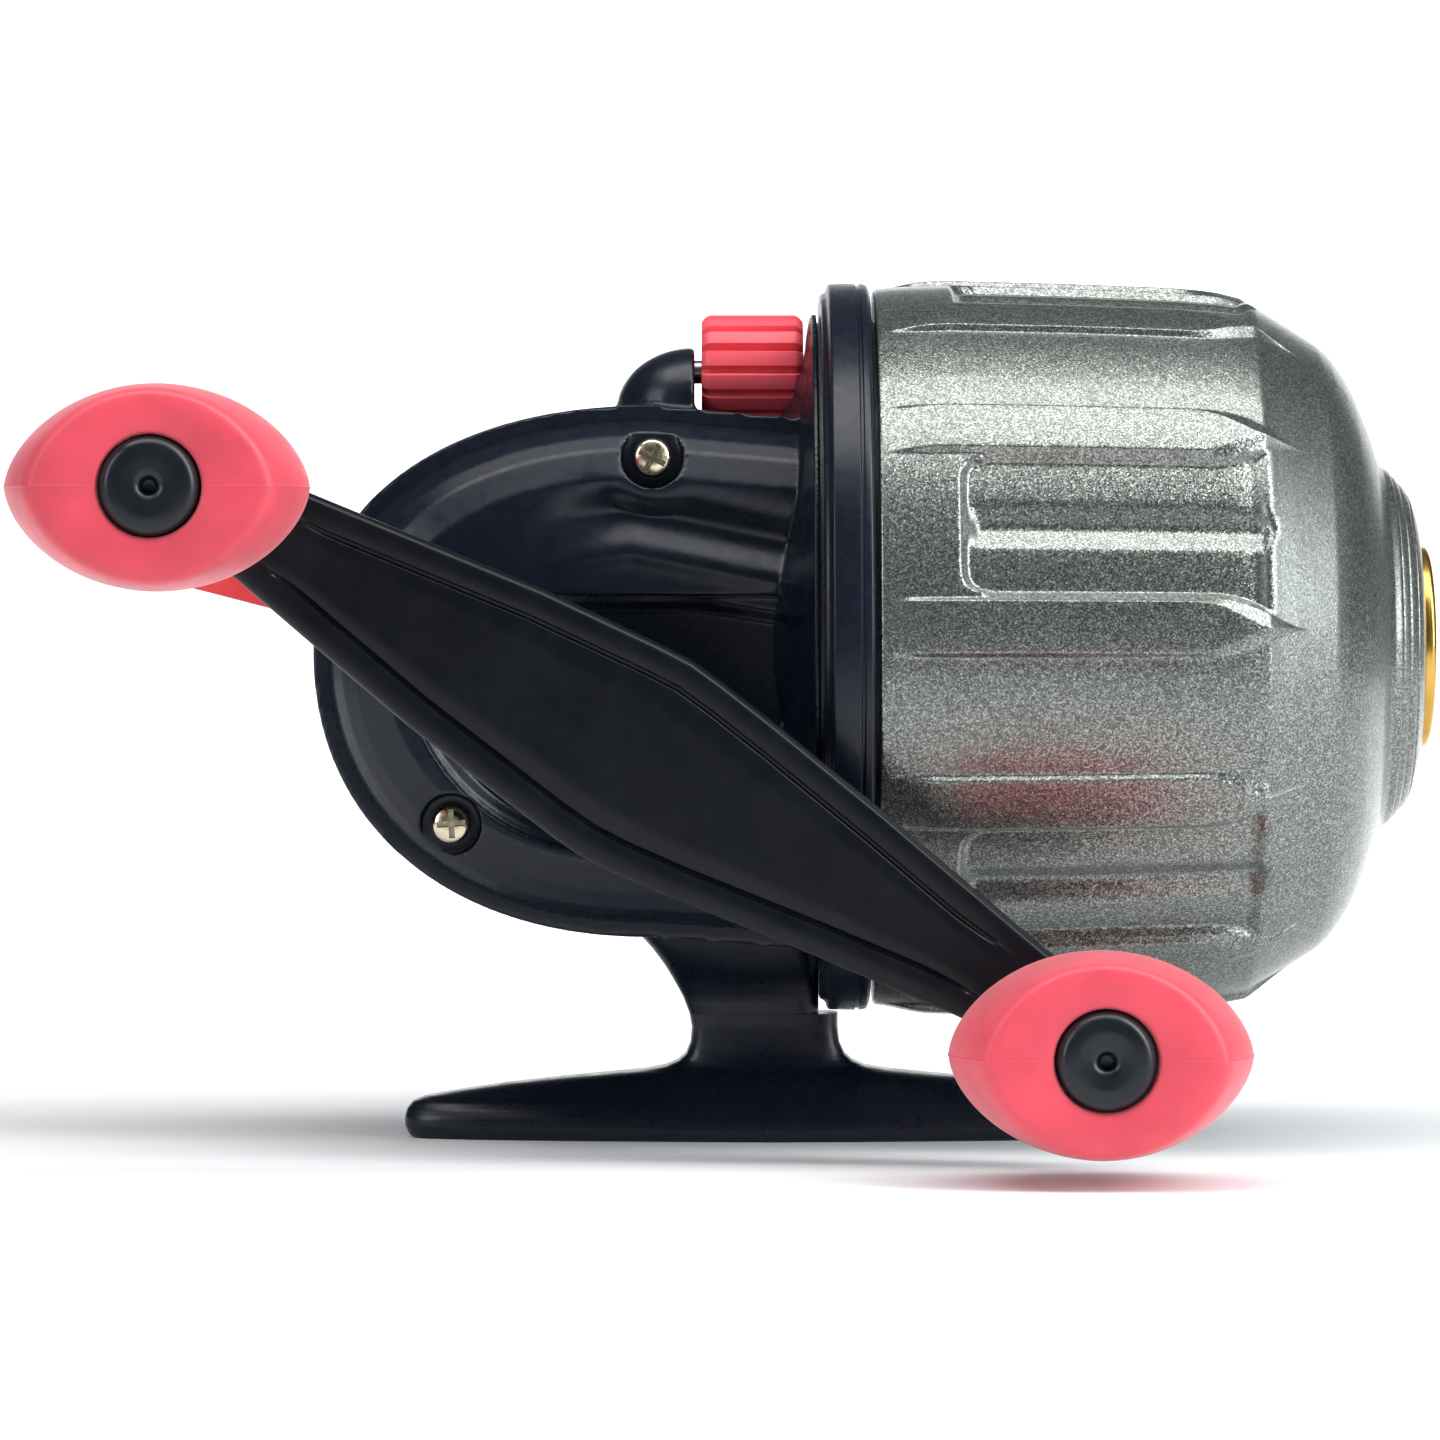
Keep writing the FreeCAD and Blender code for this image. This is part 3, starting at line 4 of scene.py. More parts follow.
import bmesh
import bpy
import numpy as np
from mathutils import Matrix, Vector


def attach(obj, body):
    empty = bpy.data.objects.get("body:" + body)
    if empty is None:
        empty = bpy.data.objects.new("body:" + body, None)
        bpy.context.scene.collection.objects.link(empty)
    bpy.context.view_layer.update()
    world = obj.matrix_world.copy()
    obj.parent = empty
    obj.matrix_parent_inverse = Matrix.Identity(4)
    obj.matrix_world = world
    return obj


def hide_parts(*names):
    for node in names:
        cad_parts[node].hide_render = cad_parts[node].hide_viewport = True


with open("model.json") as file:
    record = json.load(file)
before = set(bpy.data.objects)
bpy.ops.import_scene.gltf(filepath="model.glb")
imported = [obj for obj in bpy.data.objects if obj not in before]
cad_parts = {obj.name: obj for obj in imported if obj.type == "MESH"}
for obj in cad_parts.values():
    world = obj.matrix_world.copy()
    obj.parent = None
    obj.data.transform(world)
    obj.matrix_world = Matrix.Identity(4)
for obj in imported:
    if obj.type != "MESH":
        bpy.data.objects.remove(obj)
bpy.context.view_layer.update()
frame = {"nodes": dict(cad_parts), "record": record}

MM = 0.001
NODES = frame["nodes"]

# Every length below is in mm and every place is in the CAD frame: X to the nose, Y away from the crank, Z up.
LINE_AXIS = (0.0, 0.0, 42.1)                # a point on the spool's axis, which runs along X
CRANK = (-11.6, 0.0, 32.6)                  # a point on the crank's axis, which runs along Y
CRANK_ANGLE = math.radians(31.0)            # how far the arm's front end hangs below level
KNOB_REACH = 43.45                          # from the crank's axis to each knob's axis
ARM_REAR, ARM_FRONT = -32.2, -36.0
KNOB_REAR, KNOB_FRONT = -39.0, -58.0
KNOB_HALF_LENGTH, KNOB_HALF_HEIGHT = 12.1, 8.25
DIAL_AXIS = (0.0, 0.0, 65.7)
SCREW_TOP, SCREW_LOW = (-10.0, 58.0), (-26.8, 27.4)     # x and z of the side plate's screws
TURN = 2 * math.pi


# ---------------------------------------------------------------- materials


def socket_value(bsdf, **values):
    for key, value in values.items():
        bsdf.inputs[key.replace("_", " ")].default_value = value


class Shader:
    """A node material in object coordinates, with short ways to add the usual nodes."""

    def __init__(self, name, **values):
        self.mat = bpy.data.materials.new(name)
        self.mat.use_nodes = True
        self.tree = self.mat.node_tree
        self.bsdf = self.tree.nodes["Principled BSDF"]
        socket_value(self.bsdf, **values)
        coords = self.tree.nodes.new("ShaderNodeTexCoord")
        self.place = coords.outputs["Object"]
        self.height = None

    def link(self, source, target):
        self.tree.links.new(source, target)

    def node(self, kind, inputs=None, **settings):
        node = self.tree.nodes.new(kind)
        for key, value in settings.items():
            setattr(node, key, value)
        for key, value in (inputs or {}).items():
            if isinstance(value, bpy.types.NodeSocket):
                self.link(value, node.inputs[key])
            else:
                node.inputs[key].default_value = value
        return node

    def stretched(self, x=1.0, y=1.0, z=1.0):
        return self.node("ShaderNodeMapping", {"Vector": self.place, "Scale": (x, y, z)}).outputs["Vector"]

    def noise(self, grain_mm, detail=3.0, rough=0.55, place=None):
        """Noise whose features are about grain_mm across."""
        made = self.node("ShaderNodeTexNoise", {"Vector": place or self.place, "Scale": 1 / (grain_mm * MM),
                                                "Detail": detail, "Roughness": rough})
        return made.outputs["Fac"]

    def cells(self, grain_mm):
        return self.node("ShaderNodeTexVoronoi", {"Vector": self.place, "Scale": 1 / (grain_mm * MM)})

    def spread(self, value, low, high, start=0.3, end=0.7):
        """value between start and end becomes low to high."""
        made = self.node("ShaderNodeMapRange", {"Value": value, "From Min": start, "From Max": end,
                                                "To Min": low, "To Max": high})
        return made.outputs["Result"]

    def ramp(self, value, stops):
        made = self.node("ShaderNodeValToRGB", {"Fac": value})
        elements = made.color_ramp.elements
        while len(elements) < len(stops):
            elements.new(0.5)
        for element, (position, colour) in zip(elements, stops):
            element.position = position
            element.color = (*colour, 1.0)
        return made.outputs["Color"]

    def colour(self, source):
        self.link(source, self.bsdf.inputs["Base Color"])

    def roughness(self, source):
        self.link(source, self.bsdf.inputs["Roughness"])

    def bump(self, value, depth_mm):
        """Adds a bump of that depth; several bumps stack."""
        inputs = {"Height": value, "Distance": depth_mm * MM, "Strength": 1.0}
        if self.height is not None:
            inputs["Normal"] = self.height
        made = self.node("ShaderNodeBump", inputs)
        self.height = made.outputs["Normal"]
        self.link(self.height, self.bsdf.inputs["Normal"])


def lifted(colour, factor):
    return tuple(min(1.0, c * factor) for c in colour)


def plastic(name, colour, roughness, grain_mm=0.35, depth_mm=0.006, wear=1.25, **values):
    """Moulded plastic: faint mottling, a fine skin grain and uneven gloss."""
    s = Shader(name, **values)
    mottle = s.noise(6.0, 4.0)
    s.colour(s.ramp(mottle, [(0.35, lifted(colour, 0.88)), (0.65, lifted(colour, wear))]))
    s.roughness(s.spread(s.noise(2.2, 5.0), roughness - 0.05, roughness + 0.07))
    s.bump(s.noise(grain_mm, 2.0), depth_mm)
    return s.mat


def painted(name, colour, roughness, **values):
    """Satin paint over a casting: orange-peel waves, fine dust and a cloudy tint."""
    s = Shader(name, **values)
    dust = s.noise(0.16, 2.0)
    cloud = s.noise(9.0, 4.0)
    tint = s.ramp(dust, [(0.3, lifted(colour, 0.75)), (0.72, lifted(colour, 1.4))])
    veil = s.ramp(cloud, [(0.35, (0.85, 0.85, 0.88)), (0.7, (1.0, 1.0, 1.0))])
    mix = s.node("ShaderNodeMix", {"Factor": 1.0, 6: tint, 7: veil}, data_type="RGBA", blend_type="MULTIPLY")
    s.colour(mix.outputs[2])
    s.roughness(s.spread(s.noise(1.3, 4.0), roughness - 0.04, roughness + 0.08))
    s.bump(s.noise(0.9, 3.0), 0.004)
    s.bump(dust, 0.0015)
    return s.mat


def metal(name, colour, roughness, axis="X", grain_mm=0.12, depth_mm=0.004, **values):
    """Machined metal: fine turning marks across one axis, with smudges."""
    s = Shader(name, Metallic=1.0, **values)
    long = {"X": (1, 0.03, 0.03), "Y": (0.03, 1, 0.03), "Z": (0.03, 0.03, 1), "": (1, 1, 1)}[axis]
    marks = s.noise(grain_mm, 2.0, place=s.stretched(*long))
    smudge = s.noise(4.0, 4.0)
    s.colour(s.ramp(smudge, [(0.35, lifted(colour, 0.8)), (0.7, lifted(colour, 1.06))]))
    s.roughness(s.spread(marks, roughness - 0.06, roughness + 0.1))
    s.bump(marks, depth_mm)
    return s.mat


def flake(name):
    """Grey-green metallic paint: tiny flakes that each tilt their own way, under a clear coat."""
    s = Shader(name, Metallic=0.85, Coat_Weight=0.5, Coat_Roughness=0.14)
    cells = s.cells(0.11)
    value = s.node("ShaderNodeSeparateColor", {"Color": cells.outputs["Color"]})
    s.colour(s.ramp(value.outputs["Red"], [(0.0, (0.08, 0.086, 0.078)), (0.45, (0.17, 0.182, 0.168)),
                                           (0.8, (0.29, 0.31, 0.285)), (1.0, (0.48, 0.50, 0.465))]))
    s.roughness(s.spread(value.outputs["Green"], 0.27, 0.42, 0.0, 1.0))
    geometry = s.node("ShaderNodeNewGeometry")
    centred = s.node("ShaderNodeVectorMath", {0: cells.outputs["Color"], 1: (0.5, 0.5, 0.5)},
                     operation="SUBTRACT")
    tilt = s.node("ShaderNodeVectorMath", {0: centred.outputs[0], "Scale": 0.20}, operation="SCALE")
    added = s.node("ShaderNodeVectorMath", {0: geometry.outputs["Normal"], 1: tilt.outputs[0]}, operation="ADD")
    unit = s.node("ShaderNodeVectorMath", {0: added.outputs[0]}, operation="NORMALIZE")
    s.height = unit.outputs[0]
    s.bump(s.noise(0.22, 2.0), 0.012)
    return s.mat


def fishing_line_skin(name):
    """Wound monofilament: fine turns round the spool with a slight cross lay."""
    s = Shader(name, Roughness=0.22, Transmission_Weight=0.15, IOR=1.53)
    wave = s.node("ShaderNodeTexWave", {"Vector": s.place, "Scale": 320.0, "Distortion": 1.2, "Detail": 1.0},
                  wave_type="BANDS", bands_direction="X")
    # Painted shade: the colour is darker in the grooves between turns than on their crests.
    s.colour(s.ramp(wave.outputs["Fac"], [(0.2, (0.30, 0.38, 0.40)), (0.8, (0.66, 0.76, 0.78))]))
    s.bump(wave.outputs["Fac"], 0.09)
    return s.mat


def felt_skin(name):
    """Pressed felt: short fibres and a soft sheen."""
    s = Shader(name, Roughness=0.95, Sheen_Weight=0.4)
    fibre = s.noise(0.18, 5.0, 0.7)
    s.colour(s.ramp(fibre, [(0.3, (0.22, 0.2, 0.17)), (0.7, (0.45, 0.42, 0.36))]))
    s.bump(fibre, 0.15)
    return s.mat


MATERIALS = {
    "housing_black": painted("satin_black_paint", (0.0052, 0.0084, 0.0165), 0.28, Specular_IOR_Level=0.36),
    "arm_black": plastic("arm_black_plastic", (0.0034, 0.0046, 0.0068), 0.31, 0.3, 0.003,
                         Specular_IOR_Level=0.24),
    "knob_red": plastic("coral_grip", (0.76, 0.070, 0.105), 0.45, 0.5, 0.006, 1.08, Subsurface_Weight=0.10,
                        Subsurface_Scale=0.002, Sheen_Weight=0.25, Sheen_Roughness=0.4),
    "cap_black": plastic("cap_black_plastic", (0.006, 0.0085, 0.012), 0.30, 0.3, 0.003, Specular_IOR_Level=0.4),
    "thumb_red": plastic("trigger_red", (0.84, 0.052, 0.058), 0.42, 0.5, 0.006, 1.08, Subsurface_Weight=0.1,
                         Subsurface_Scale=0.002),
    "dial_red": plastic("dial_red_plastic", (1.0, 0.10, 0.13), 0.45, 0.16, 0.012, 1.1, Subsurface_Weight=0.08,
                        Subsurface_Scale=0.002),
    "cover_metal": flake("flake_paint"),
    "gold": metal("anodised_gold", (0.80, 0.47, 0.11), 0.24, "X", 0.1, 0.003),
    "deck_grey": painted("deck_grey_paint", (0.10, 0.105, 0.11), 0.42),
    "nickel": metal("nickel_plate", (0.80, 0.70, 0.50), 0.2, "", 0.5, 0.003),
    "steel": metal("ground_steel", (0.52, 0.53, 0.55), 0.28, "Y"),
    "brass": metal("cut_brass", (0.72, 0.50, 0.20), 0.3, "Y"),
    "spinner_metal": metal("spun_aluminium", (0.66, 0.67, 0.69), 0.3, "X"),
    "nylon": plastic("white_nylon", (0.72, 0.71, 0.66), 0.5, 0.3, 0.01, 1.02, Subsurface_Weight=0.15,
                     Subsurface_Scale=0.002),
    "line": fishing_line_skin("wound_line"),
    "felt": felt_skin("drag_felt"),
}


# ---------------------------------------------------------------- mesh tools


def tidy(obj, sharp=32.0):
    """Joins doubled points, turns faces outwards and shades smooth except at edges over sharp degrees."""
    bm = bmesh.new()
    bm.from_mesh(obj.data)
    bmesh.ops.remove_doubles(bm, verts=bm.verts, dist=2e-6)
    bmesh.ops.dissolve_degenerate(bm, edges=bm.edges, dist=1e-7)
    bmesh.ops.recalc_face_normals(bm, faces=bm.faces)
    limit = math.radians(sharp)
    for face in bm.faces:
        face.smooth = True
    for edge in bm.edges:
        edge.smooth = len(edge.link_faces) == 2 and edge.calc_face_angle(0.0) < limit
    bm.to_mesh(obj.data)
    bm.free()
    return obj


def new_object(name, verts, faces, sharp=32.0):
    """A tidied mesh object from points in mm."""
    mesh = bpy.data.meshes.new(name)
    mesh.from_pydata((np.asarray(verts, float) * MM).tolist(), [], faces)
    obj = bpy.data.objects.new(name, mesh)
    bpy.context.scene.collection.objects.link(obj)
    return tidy(obj, sharp)


def modified(obj, kind, **settings):
    """Adds a modifier and applies it."""
    modifier = obj.modifiers.new(kind.lower(), kind)
    for key, value in settings.items():
        setattr(modifier, key, value)
    graph = bpy.context.evaluated_depsgraph_get()
    mesh = bpy.data.meshes.new_from_object(obj.evaluated_get(graph))
    obj.modifiers.clear()
    old, obj.data = obj.data, mesh
    bpy.data.meshes.remove(old)
    return obj


def skin(name, rings, loop=False, sharp=32.0):
    """A closed surface over rings of points. The rings close on themselves, or both ends are capped."""
    rings = [np.asarray(ring, float) for ring in rings]
    count = len(rings[0])
    verts = [point for ring in rings for point in ring]
    faces = []
    last = len(rings) - 1
    pairs = [(k, k + 1) for k in range(last)] + ([(last, 0)] if loop else [])
    for a, b in pairs:
        for i in range(count):
            j = (i + 1) % count
            faces.append((a * count + i, a * count + j, b * count + j, b * count + i))
    for k in () if loop else (0, last):
        centre = len(verts)
        verts.append(rings[k].mean(0))
        faces += [(k * count + i, k * count + (i + 1) % count, centre) for i in range(count)]
    return new_object(name, verts, faces, sharp)


def on_axis(axis, at, along, u, v):
    """Points given by their place along an axis and two offsets from it."""
    along = np.broadcast_to(along, np.shape(u))
    order = {"X": (along, u, v), "Y": (u, along, v), "Z": (u, v, along)}[axis]
    return np.stack(order, -1) + np.asarray(at, float)


def lathe(name, profile, axis, at, count=144, sharp=32.0):
    """A turned shape. The profile is (along, radius) points; it closes unless it starts on the axis."""
    turn = np.linspace(0, TURN, count, endpoint=False)
    rings = [on_axis(axis, at, along, radius * np.cos(turn), radius * np.sin(turn))
             for along, radius in profile]
    return skin(name, rings, loop=profile[0][1] > 0, sharp=sharp)


def combine(obj, operation, tool):
    """Joins another object to this one, or cuts it away, and deletes it."""
    modified(obj, "BOOLEAN", operation=operation, object=tool, solver="EXACT")
    bpy.data.objects.remove(tool)


def cut_box(obj, corners):
    """Cuts a box away. Its eight corners go through x, then y, then z, each from low to high, z fastest."""
    faces = [(0, 1, 3, 2), (4, 5, 7, 6), (0, 1, 5, 4), (2, 3, 7, 6), (0, 2, 6, 4), (1, 3, 7, 5)]
    combine(obj, "DIFFERENCE", new_object("cutter", corners, faces))


def rounded(points, radius, steps=4, closed=True):
    """The same outline with its corners rounded; radius is one size or one for each corner."""
    longest = 0.45               # the share of a side that one corner's rounding may take
    out = []
    count = len(points)
    for i, corner in enumerate(points):
        r = radius[i] if hasattr(radius, "__len__") else radius
        if r == 0 or (not closed and i in (0, count - 1)):
            out.append(tuple(corner))
            continue
        corner = np.array(corner, float)
        back = np.array(points[i - 1], float) - corner
        ahead = np.array(points[(i + 1) % count], float) - corner
        start = corner + back / np.linalg.norm(back) * min(r, longest * np.linalg.norm(back))
        end = corner + ahead / np.linalg.norm(ahead) * min(r, longest * np.linalg.norm(ahead))
        for k in range(steps + 1):
            t = k / steps
            out.append(tuple((1 - t) ** 2 * start + 2 * t * (1 - t) * corner + t * t * end))
    return out


def dress(obj, slot, body, *nodes):
    """Gives a piece the material of its slot and the body it moves with, and hides the nodes it stands for."""
    obj.data.materials.clear()
    obj.data.materials.append(MATERIALS[slot])
    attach(obj, body)
    if nodes:
        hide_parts(*nodes)
    return obj


def recast(name, node, voxel_mm, smoothing, shape=None):
    """A softened copy of a CAD node: even faces, rounded edges, and moves by a function of points in mm."""
    obj = bpy.data.objects.new(name, NODES[node].data.copy())
    bpy.context.scene.collection.objects.link(obj)
    tidy(obj)
    modified(obj, "REMESH", mode="VOXEL", voxel_size=voxel_mm * MM)
    if shape is not None:
        points = np.empty(len(obj.data.vertices) * 3)
        obj.data.vertices.foreach_get("co", points)
        moved = shape(points.reshape(-1, 3) / MM) * MM
        obj.data.vertices.foreach_set("co", moved.ravel())
    modified(obj, "SMOOTH", factor=0.5, iterations=smoothing)
    return tidy(obj, 60.0)


def step(x, low, high):
    """0 below low, 1 above high and a smooth rise between."""
    t = np.clip((np.asarray(x, float) - low) / (high - low), 0, 1)
    return t * t * (3 - 2 * t)


# ---------------------------------------------------------------- front cover

SECTORS = 6
SECTOR_MIDDLE = 19.6             # the middle of a pocket, degrees up from the near side
COVER_LINE = [                   # x and radius of the plain surface
    (8.75, 30.5), (9.05, 30.75), (11, 30.9), (15, 31.05), (25, 30.8), (34, 30.45), (38.5, 30.15), (40.6, 29.75),
    (41.6, 29.1), (43.0, 28.25), (45.0, 27.0), (46.6, 26.0), (47.6, 25.1), (48.6, 23.8), (49.5, 22.3),
    (50.4, 20.3), (51.2, 18.2), (51.9, 16.0)]
RIB_MID, RIB_HALF, RIB_HEIGHT = 16.3, 4.6, 0.5                  # degrees, degrees, mm
POCKET_DEEP, GROOVE_DEEP, GROOVE_HALF = 0.75, 0.85, 3.9         # mm, mm, degrees
NOSE_START = 51.9                # x where the sectors end and the round nose begins


def cover_rows():
    """The x of each ring, closer together where the shape changes."""
    rear = np.linspace(9.05, 15.0, 15)
    pocket_start = np.linspace(15.2, 17.6, 12)
    field = np.linspace(18.2, 38.8, 26)
    front = np.linspace(39.2, 47.0, 34)
    nose = np.linspace(47.3, NOSE_START, 14)
    return np.concatenate([rear, pocket_start, field, front, nose])


def cover_section(x, radius):
    """One sixth of the cover's outline at x: angles from the pocket's middle, and radii."""
    base = RIB_HALF * (1 - step(x, 35.0, 44.3) ** 1.5)
    top = (RIB_HALF - 0.75) * (1 - step(x, 34.5, 41.2) ** 1.3)
    height = RIB_HEIGHT * step(x, 9.2, 13.5) * (1 - step(x, 40.6, 44.6))
    inner = RIB_MID - base
    edge = inner - 0.9
    depth = POCKET_DEEP * (1 - step(x, 39.4, 41.2))

    def pocket(angle):
        """The floor's depth. Its rear corners are rounded."""
        late = min(1.0, max(0.0, (angle - (edge - 3.2)) / 3.2))
        start = 15.2 + 1.7 * (1 - math.sqrt(1 - late ** 2))
        return depth * float(step(x, start, start + 0.8))

    groove = GROOVE_DEEP * step(x, 15.6, 17.0) * (1 - step(x, 40.2, 41.6))
    half = GROOVE_HALF * (0.6 + 0.4 * float(1 - step(x, 40.0, 41.5)))
    wide = half * 1.1
    floor_middle = wide + (edge - wide) * 0.4
    knots = [
        (0.0, -pocket(0) - groove), (half * 0.18, -pocket(0) - groove * 0.93),
        (half * 0.9, -pocket(0) - groove * 0.10), (wide, -pocket(wide)),
        (floor_middle, -pocket(floor_middle)),
        (edge - 2.2, -pocket(edge - 2.2)), (edge - 1.1, -pocket(edge - 1.1)), (edge - 0.4, -pocket(edge - 0.4)),
        (edge, -pocket(edge) * 0.93), (inner - 0.1, -pocket(edge) * 0.05),
        (inner + 0.12, height * 0.12), (RIB_MID - top - 0.12, height * 0.92), (RIB_MID - top + 0.12, height),
        (RIB_MID, height), (RIB_MID + top - 0.12, height), (RIB_MID + top + 0.12, height * 0.92),
        (RIB_MID + base - 0.1, height * 0.1),
        (RIB_MID + base + 0.15, 0.0), (23.5, 0.0), (26.75, 0.0), (30.0, 0.0),
    ]
    angles = np.maximum.accumulate(np.array([a for a, _ in knots]))
    lifts = np.array([float(h) for _, h in knots])
    fine = np.linspace(0, len(knots) - 1, (len(knots) - 1) * 2 + 1)
    return np.interp(fine, range(len(knots)), angles), radius + np.interp(fine, range(len(knots)), lifts)


def cover_ring(x):
    """Angles and radii of the whole outline at x: each sixth and its mirror image, all the way round."""
    radius = float(np.interp(x, *zip(*COVER_LINE)))
    half_angles, half_radii = cover_section(x, radius)
    angles = np.concatenate([-half_angles[:0:-1], half_angles[:-1]])
    radii = np.concatenate([half_radii[:0:-1], half_radii[:-1]])
    turns = np.radians(np.concatenate([angles + SECTOR_MIDDLE + 360 / SECTORS * k for k in range(SECTORS)]))
    return turns, np.tile(radii, SECTORS)


def front_cover():
    """The ribbed nose cover, stepped down to the bushing and hollow behind."""
    rings = []
    for x in cover_rows():
        turns, radii = cover_ring(x)
        rings.append(on_axis("X", LINE_AXIS, x, -radii * np.cos(turns), radii * np.sin(turns)))
    even = cover_ring(NOSE_START)[0]
    flange = rounded([
        (NOSE_START, 16.0), (52.15, 15.75), (52.25, 15.55), (52.95, 15.2), (53.05, 14.85), (53.15, 14.85),
        (53.55, 14.55), (53.7, 14.1), (53.85, 14.1), (54.3, 13.7), (54.45, 13.2), (54.6, 13.2),
        (55.0, 12.2), (55.35, 10.6), (55.45, 8.7), (55.45, 6.7), (53.0, 6.62), (50.8, 8.0), (50.0, 14.0),
        (48.0, 19.4), (45.6, 23.8), (40.4, 27.2), (15.2, 28.45), (14.8, 27.95), (8.9, 27.95), (8.75, 28.1),
        (8.75, 30.45), (8.85, 30.7)], 0.12, 2, closed=False)
    for along, radius in flange:
        rings.append(on_axis("X", LINE_AXIS, along, -radius * np.cos(even), radius * np.sin(even)))
    obj = skin("front_shell", rings, loop=True, sharp=50)
    modified(obj, "SUBSURF", levels=1, render_levels=1)
    return dress(tidy(obj, 60), "cover_metal", "cover", "front_cover")


def nose_ring():
    """The turned bushing that the line runs out through."""
    profile = rounded([(52.5, 6.6), (55.5, 6.6), (55.5, 8.6), (56.5, 8.6), (56.5, 5.2), (55.8, 4.2),
                       (53.3, 4.0), (52.5, 4.6)], [0, 0, 0.1, 0.95, 1.0, 0.8, 0.3, 0.2], 6)
    dress(lathe("nose_bushing", profile, "X", LINE_AXIS), "gold", "cover", "line_guide")


# ---------------------------------------------------------------- collar, dial


def collar():
    """The ring between the housing and the cover, with a thin groove round it."""
    profile = rounded([
        (4.2, 27.85), (4.2, 30.2), (4.7, 30.45), (4.9, 31.15), (7.2, 31.2), (7.28, 31.02), (7.5, 31.02),
        (7.58, 31.2), (8.15, 31.1), (8.4, 30.7), (8.4, 27.85)],
        [0.1, 0.2, 0.2, 0.25, 0.05, 0.05, 0.05, 0.05, 0.15, 0.15, 0.1], 3)
    dress(lathe("collar", profile, "X", LINE_AXIS, 200), "housing_black", "housing", "collar_ring")


def dial():
    """The ribbed drag roller: flat-topped ribs, round roots and chamfered ends."""
    ribs, outer, root_depth, bore = 15, 4.9, 0.62, 1.15
    turn = np.linspace(0, TURN, 20 * ribs, endpoint=False)
    phase = (turn / TURN * ribs) % 1.0
    rib = step(np.abs(phase - 0.5), 0.07, 0.18)
    rings = []
    for x, inset, keep in [
            (-5.9, 1.0, 0.3), (-5.9, 0.6, 0.8), (-5.6, 0.22, 1.0), (-5.3, 0.04, 1.0), (-5.1, 0, 1.0),
            (-3.0, 0, 1.0), (0.0, 0, 1.0), (2.0, 0, 1.0), (2.2, 0.04, 1.0), (2.5, 0.22, 1.0),
            (2.8, 0.6, 0.8), (2.8, 1.0, 0.3)]:
        radius = outer - inset - root_depth * keep * (1 - rib)
        rings.append(on_axis("X", DIAL_AXIS, x, radius * np.cos(turn), radius * np.sin(turn)))
    for x in (2.8, -5.9):
        rings.append(on_axis("X", DIAL_AXIS, x, bore * np.cos(turn), bore * np.sin(turn)))
    obj = skin("dial_roller", rings, loop=True, sharp=38)
    dress(obj, "dial_red", "dial", "drag_dial")


# ---------------------------------------------------------------- housing


FOLD = [(-45, 43.6), (-24, 47.6), (-17.2, 49.8), (-11.7, 50.6), (2.7, 47.6), (9, 46.0)]     # x and z along it
HOLLOW_DEPTH, FOLD_HEIGHT, RECESS_DEPTH = 1.25, 0.3, 1.1
RECESS_ROUND = (-13.6, 42.3, 17.2)          # x, z and radius of the recess's round edge
HUB_KEEP = 8.0                              # radius round the crank's axis that stays flush


def near_side_shape(points):
    """Moves of the side plate's outer face: a hollow above the fold, and a shallow recess round the hub."""
    x, y, z = points.T
    outside = step(-y, 14.5, 17.0)
    above = z - np.interp(x, *zip(*FOLD))
    span = step(x, -21, -12) * (1 - step(x, 1.6, 2.8))
    clear = step(np.hypot(x - SCREW_TOP[0], z - SCREW_TOP[1]), 2.9, 5.2)
    hollow = HOLLOW_DEPTH * np.exp(-((above - 2.9) / 1.9) ** 2)
    hollow = hollow - FOLD_HEIGHT * np.exp(-((above + 0.3) / 1.0) ** 2)
    round_edge = RECESS_ROUND[2] - np.hypot(x - RECESS_ROUND[0], z - RECESS_ROUND[1])
    top_edge = 46.6 - z - np.maximum(0, x + 6) * 0.16
    hub_edge = np.hypot(x - CRANK[0], z - CRANK[2]) - HUB_KEEP
    inside = np.minimum(np.minimum(round_edge, top_edge), hub_edge)
    sunk = RECESS_DEPTH * step(inside, 0.4, 1.5) * step(-y, 14.5, 16.0)
    y = y + outside * span * clear * hollow + sunk
    return np.stack([x, y, z], 1)


def housing():
    """The body, the side plate on the crank's side, and the thumb button, each softened from its CAD node."""
    dress(recast("body_shell", "body_frame", 0.3, 3), "housing_black", "housing", "body_frame")
    dress(recast("side_plate", "side_cover", 0.2, 4, near_side_shape), "housing_black", "housing", "side_cover")
    dress(recast("trigger", "thumb_button", 0.2, 5), "thumb_red", "thumb", "thumb_button")


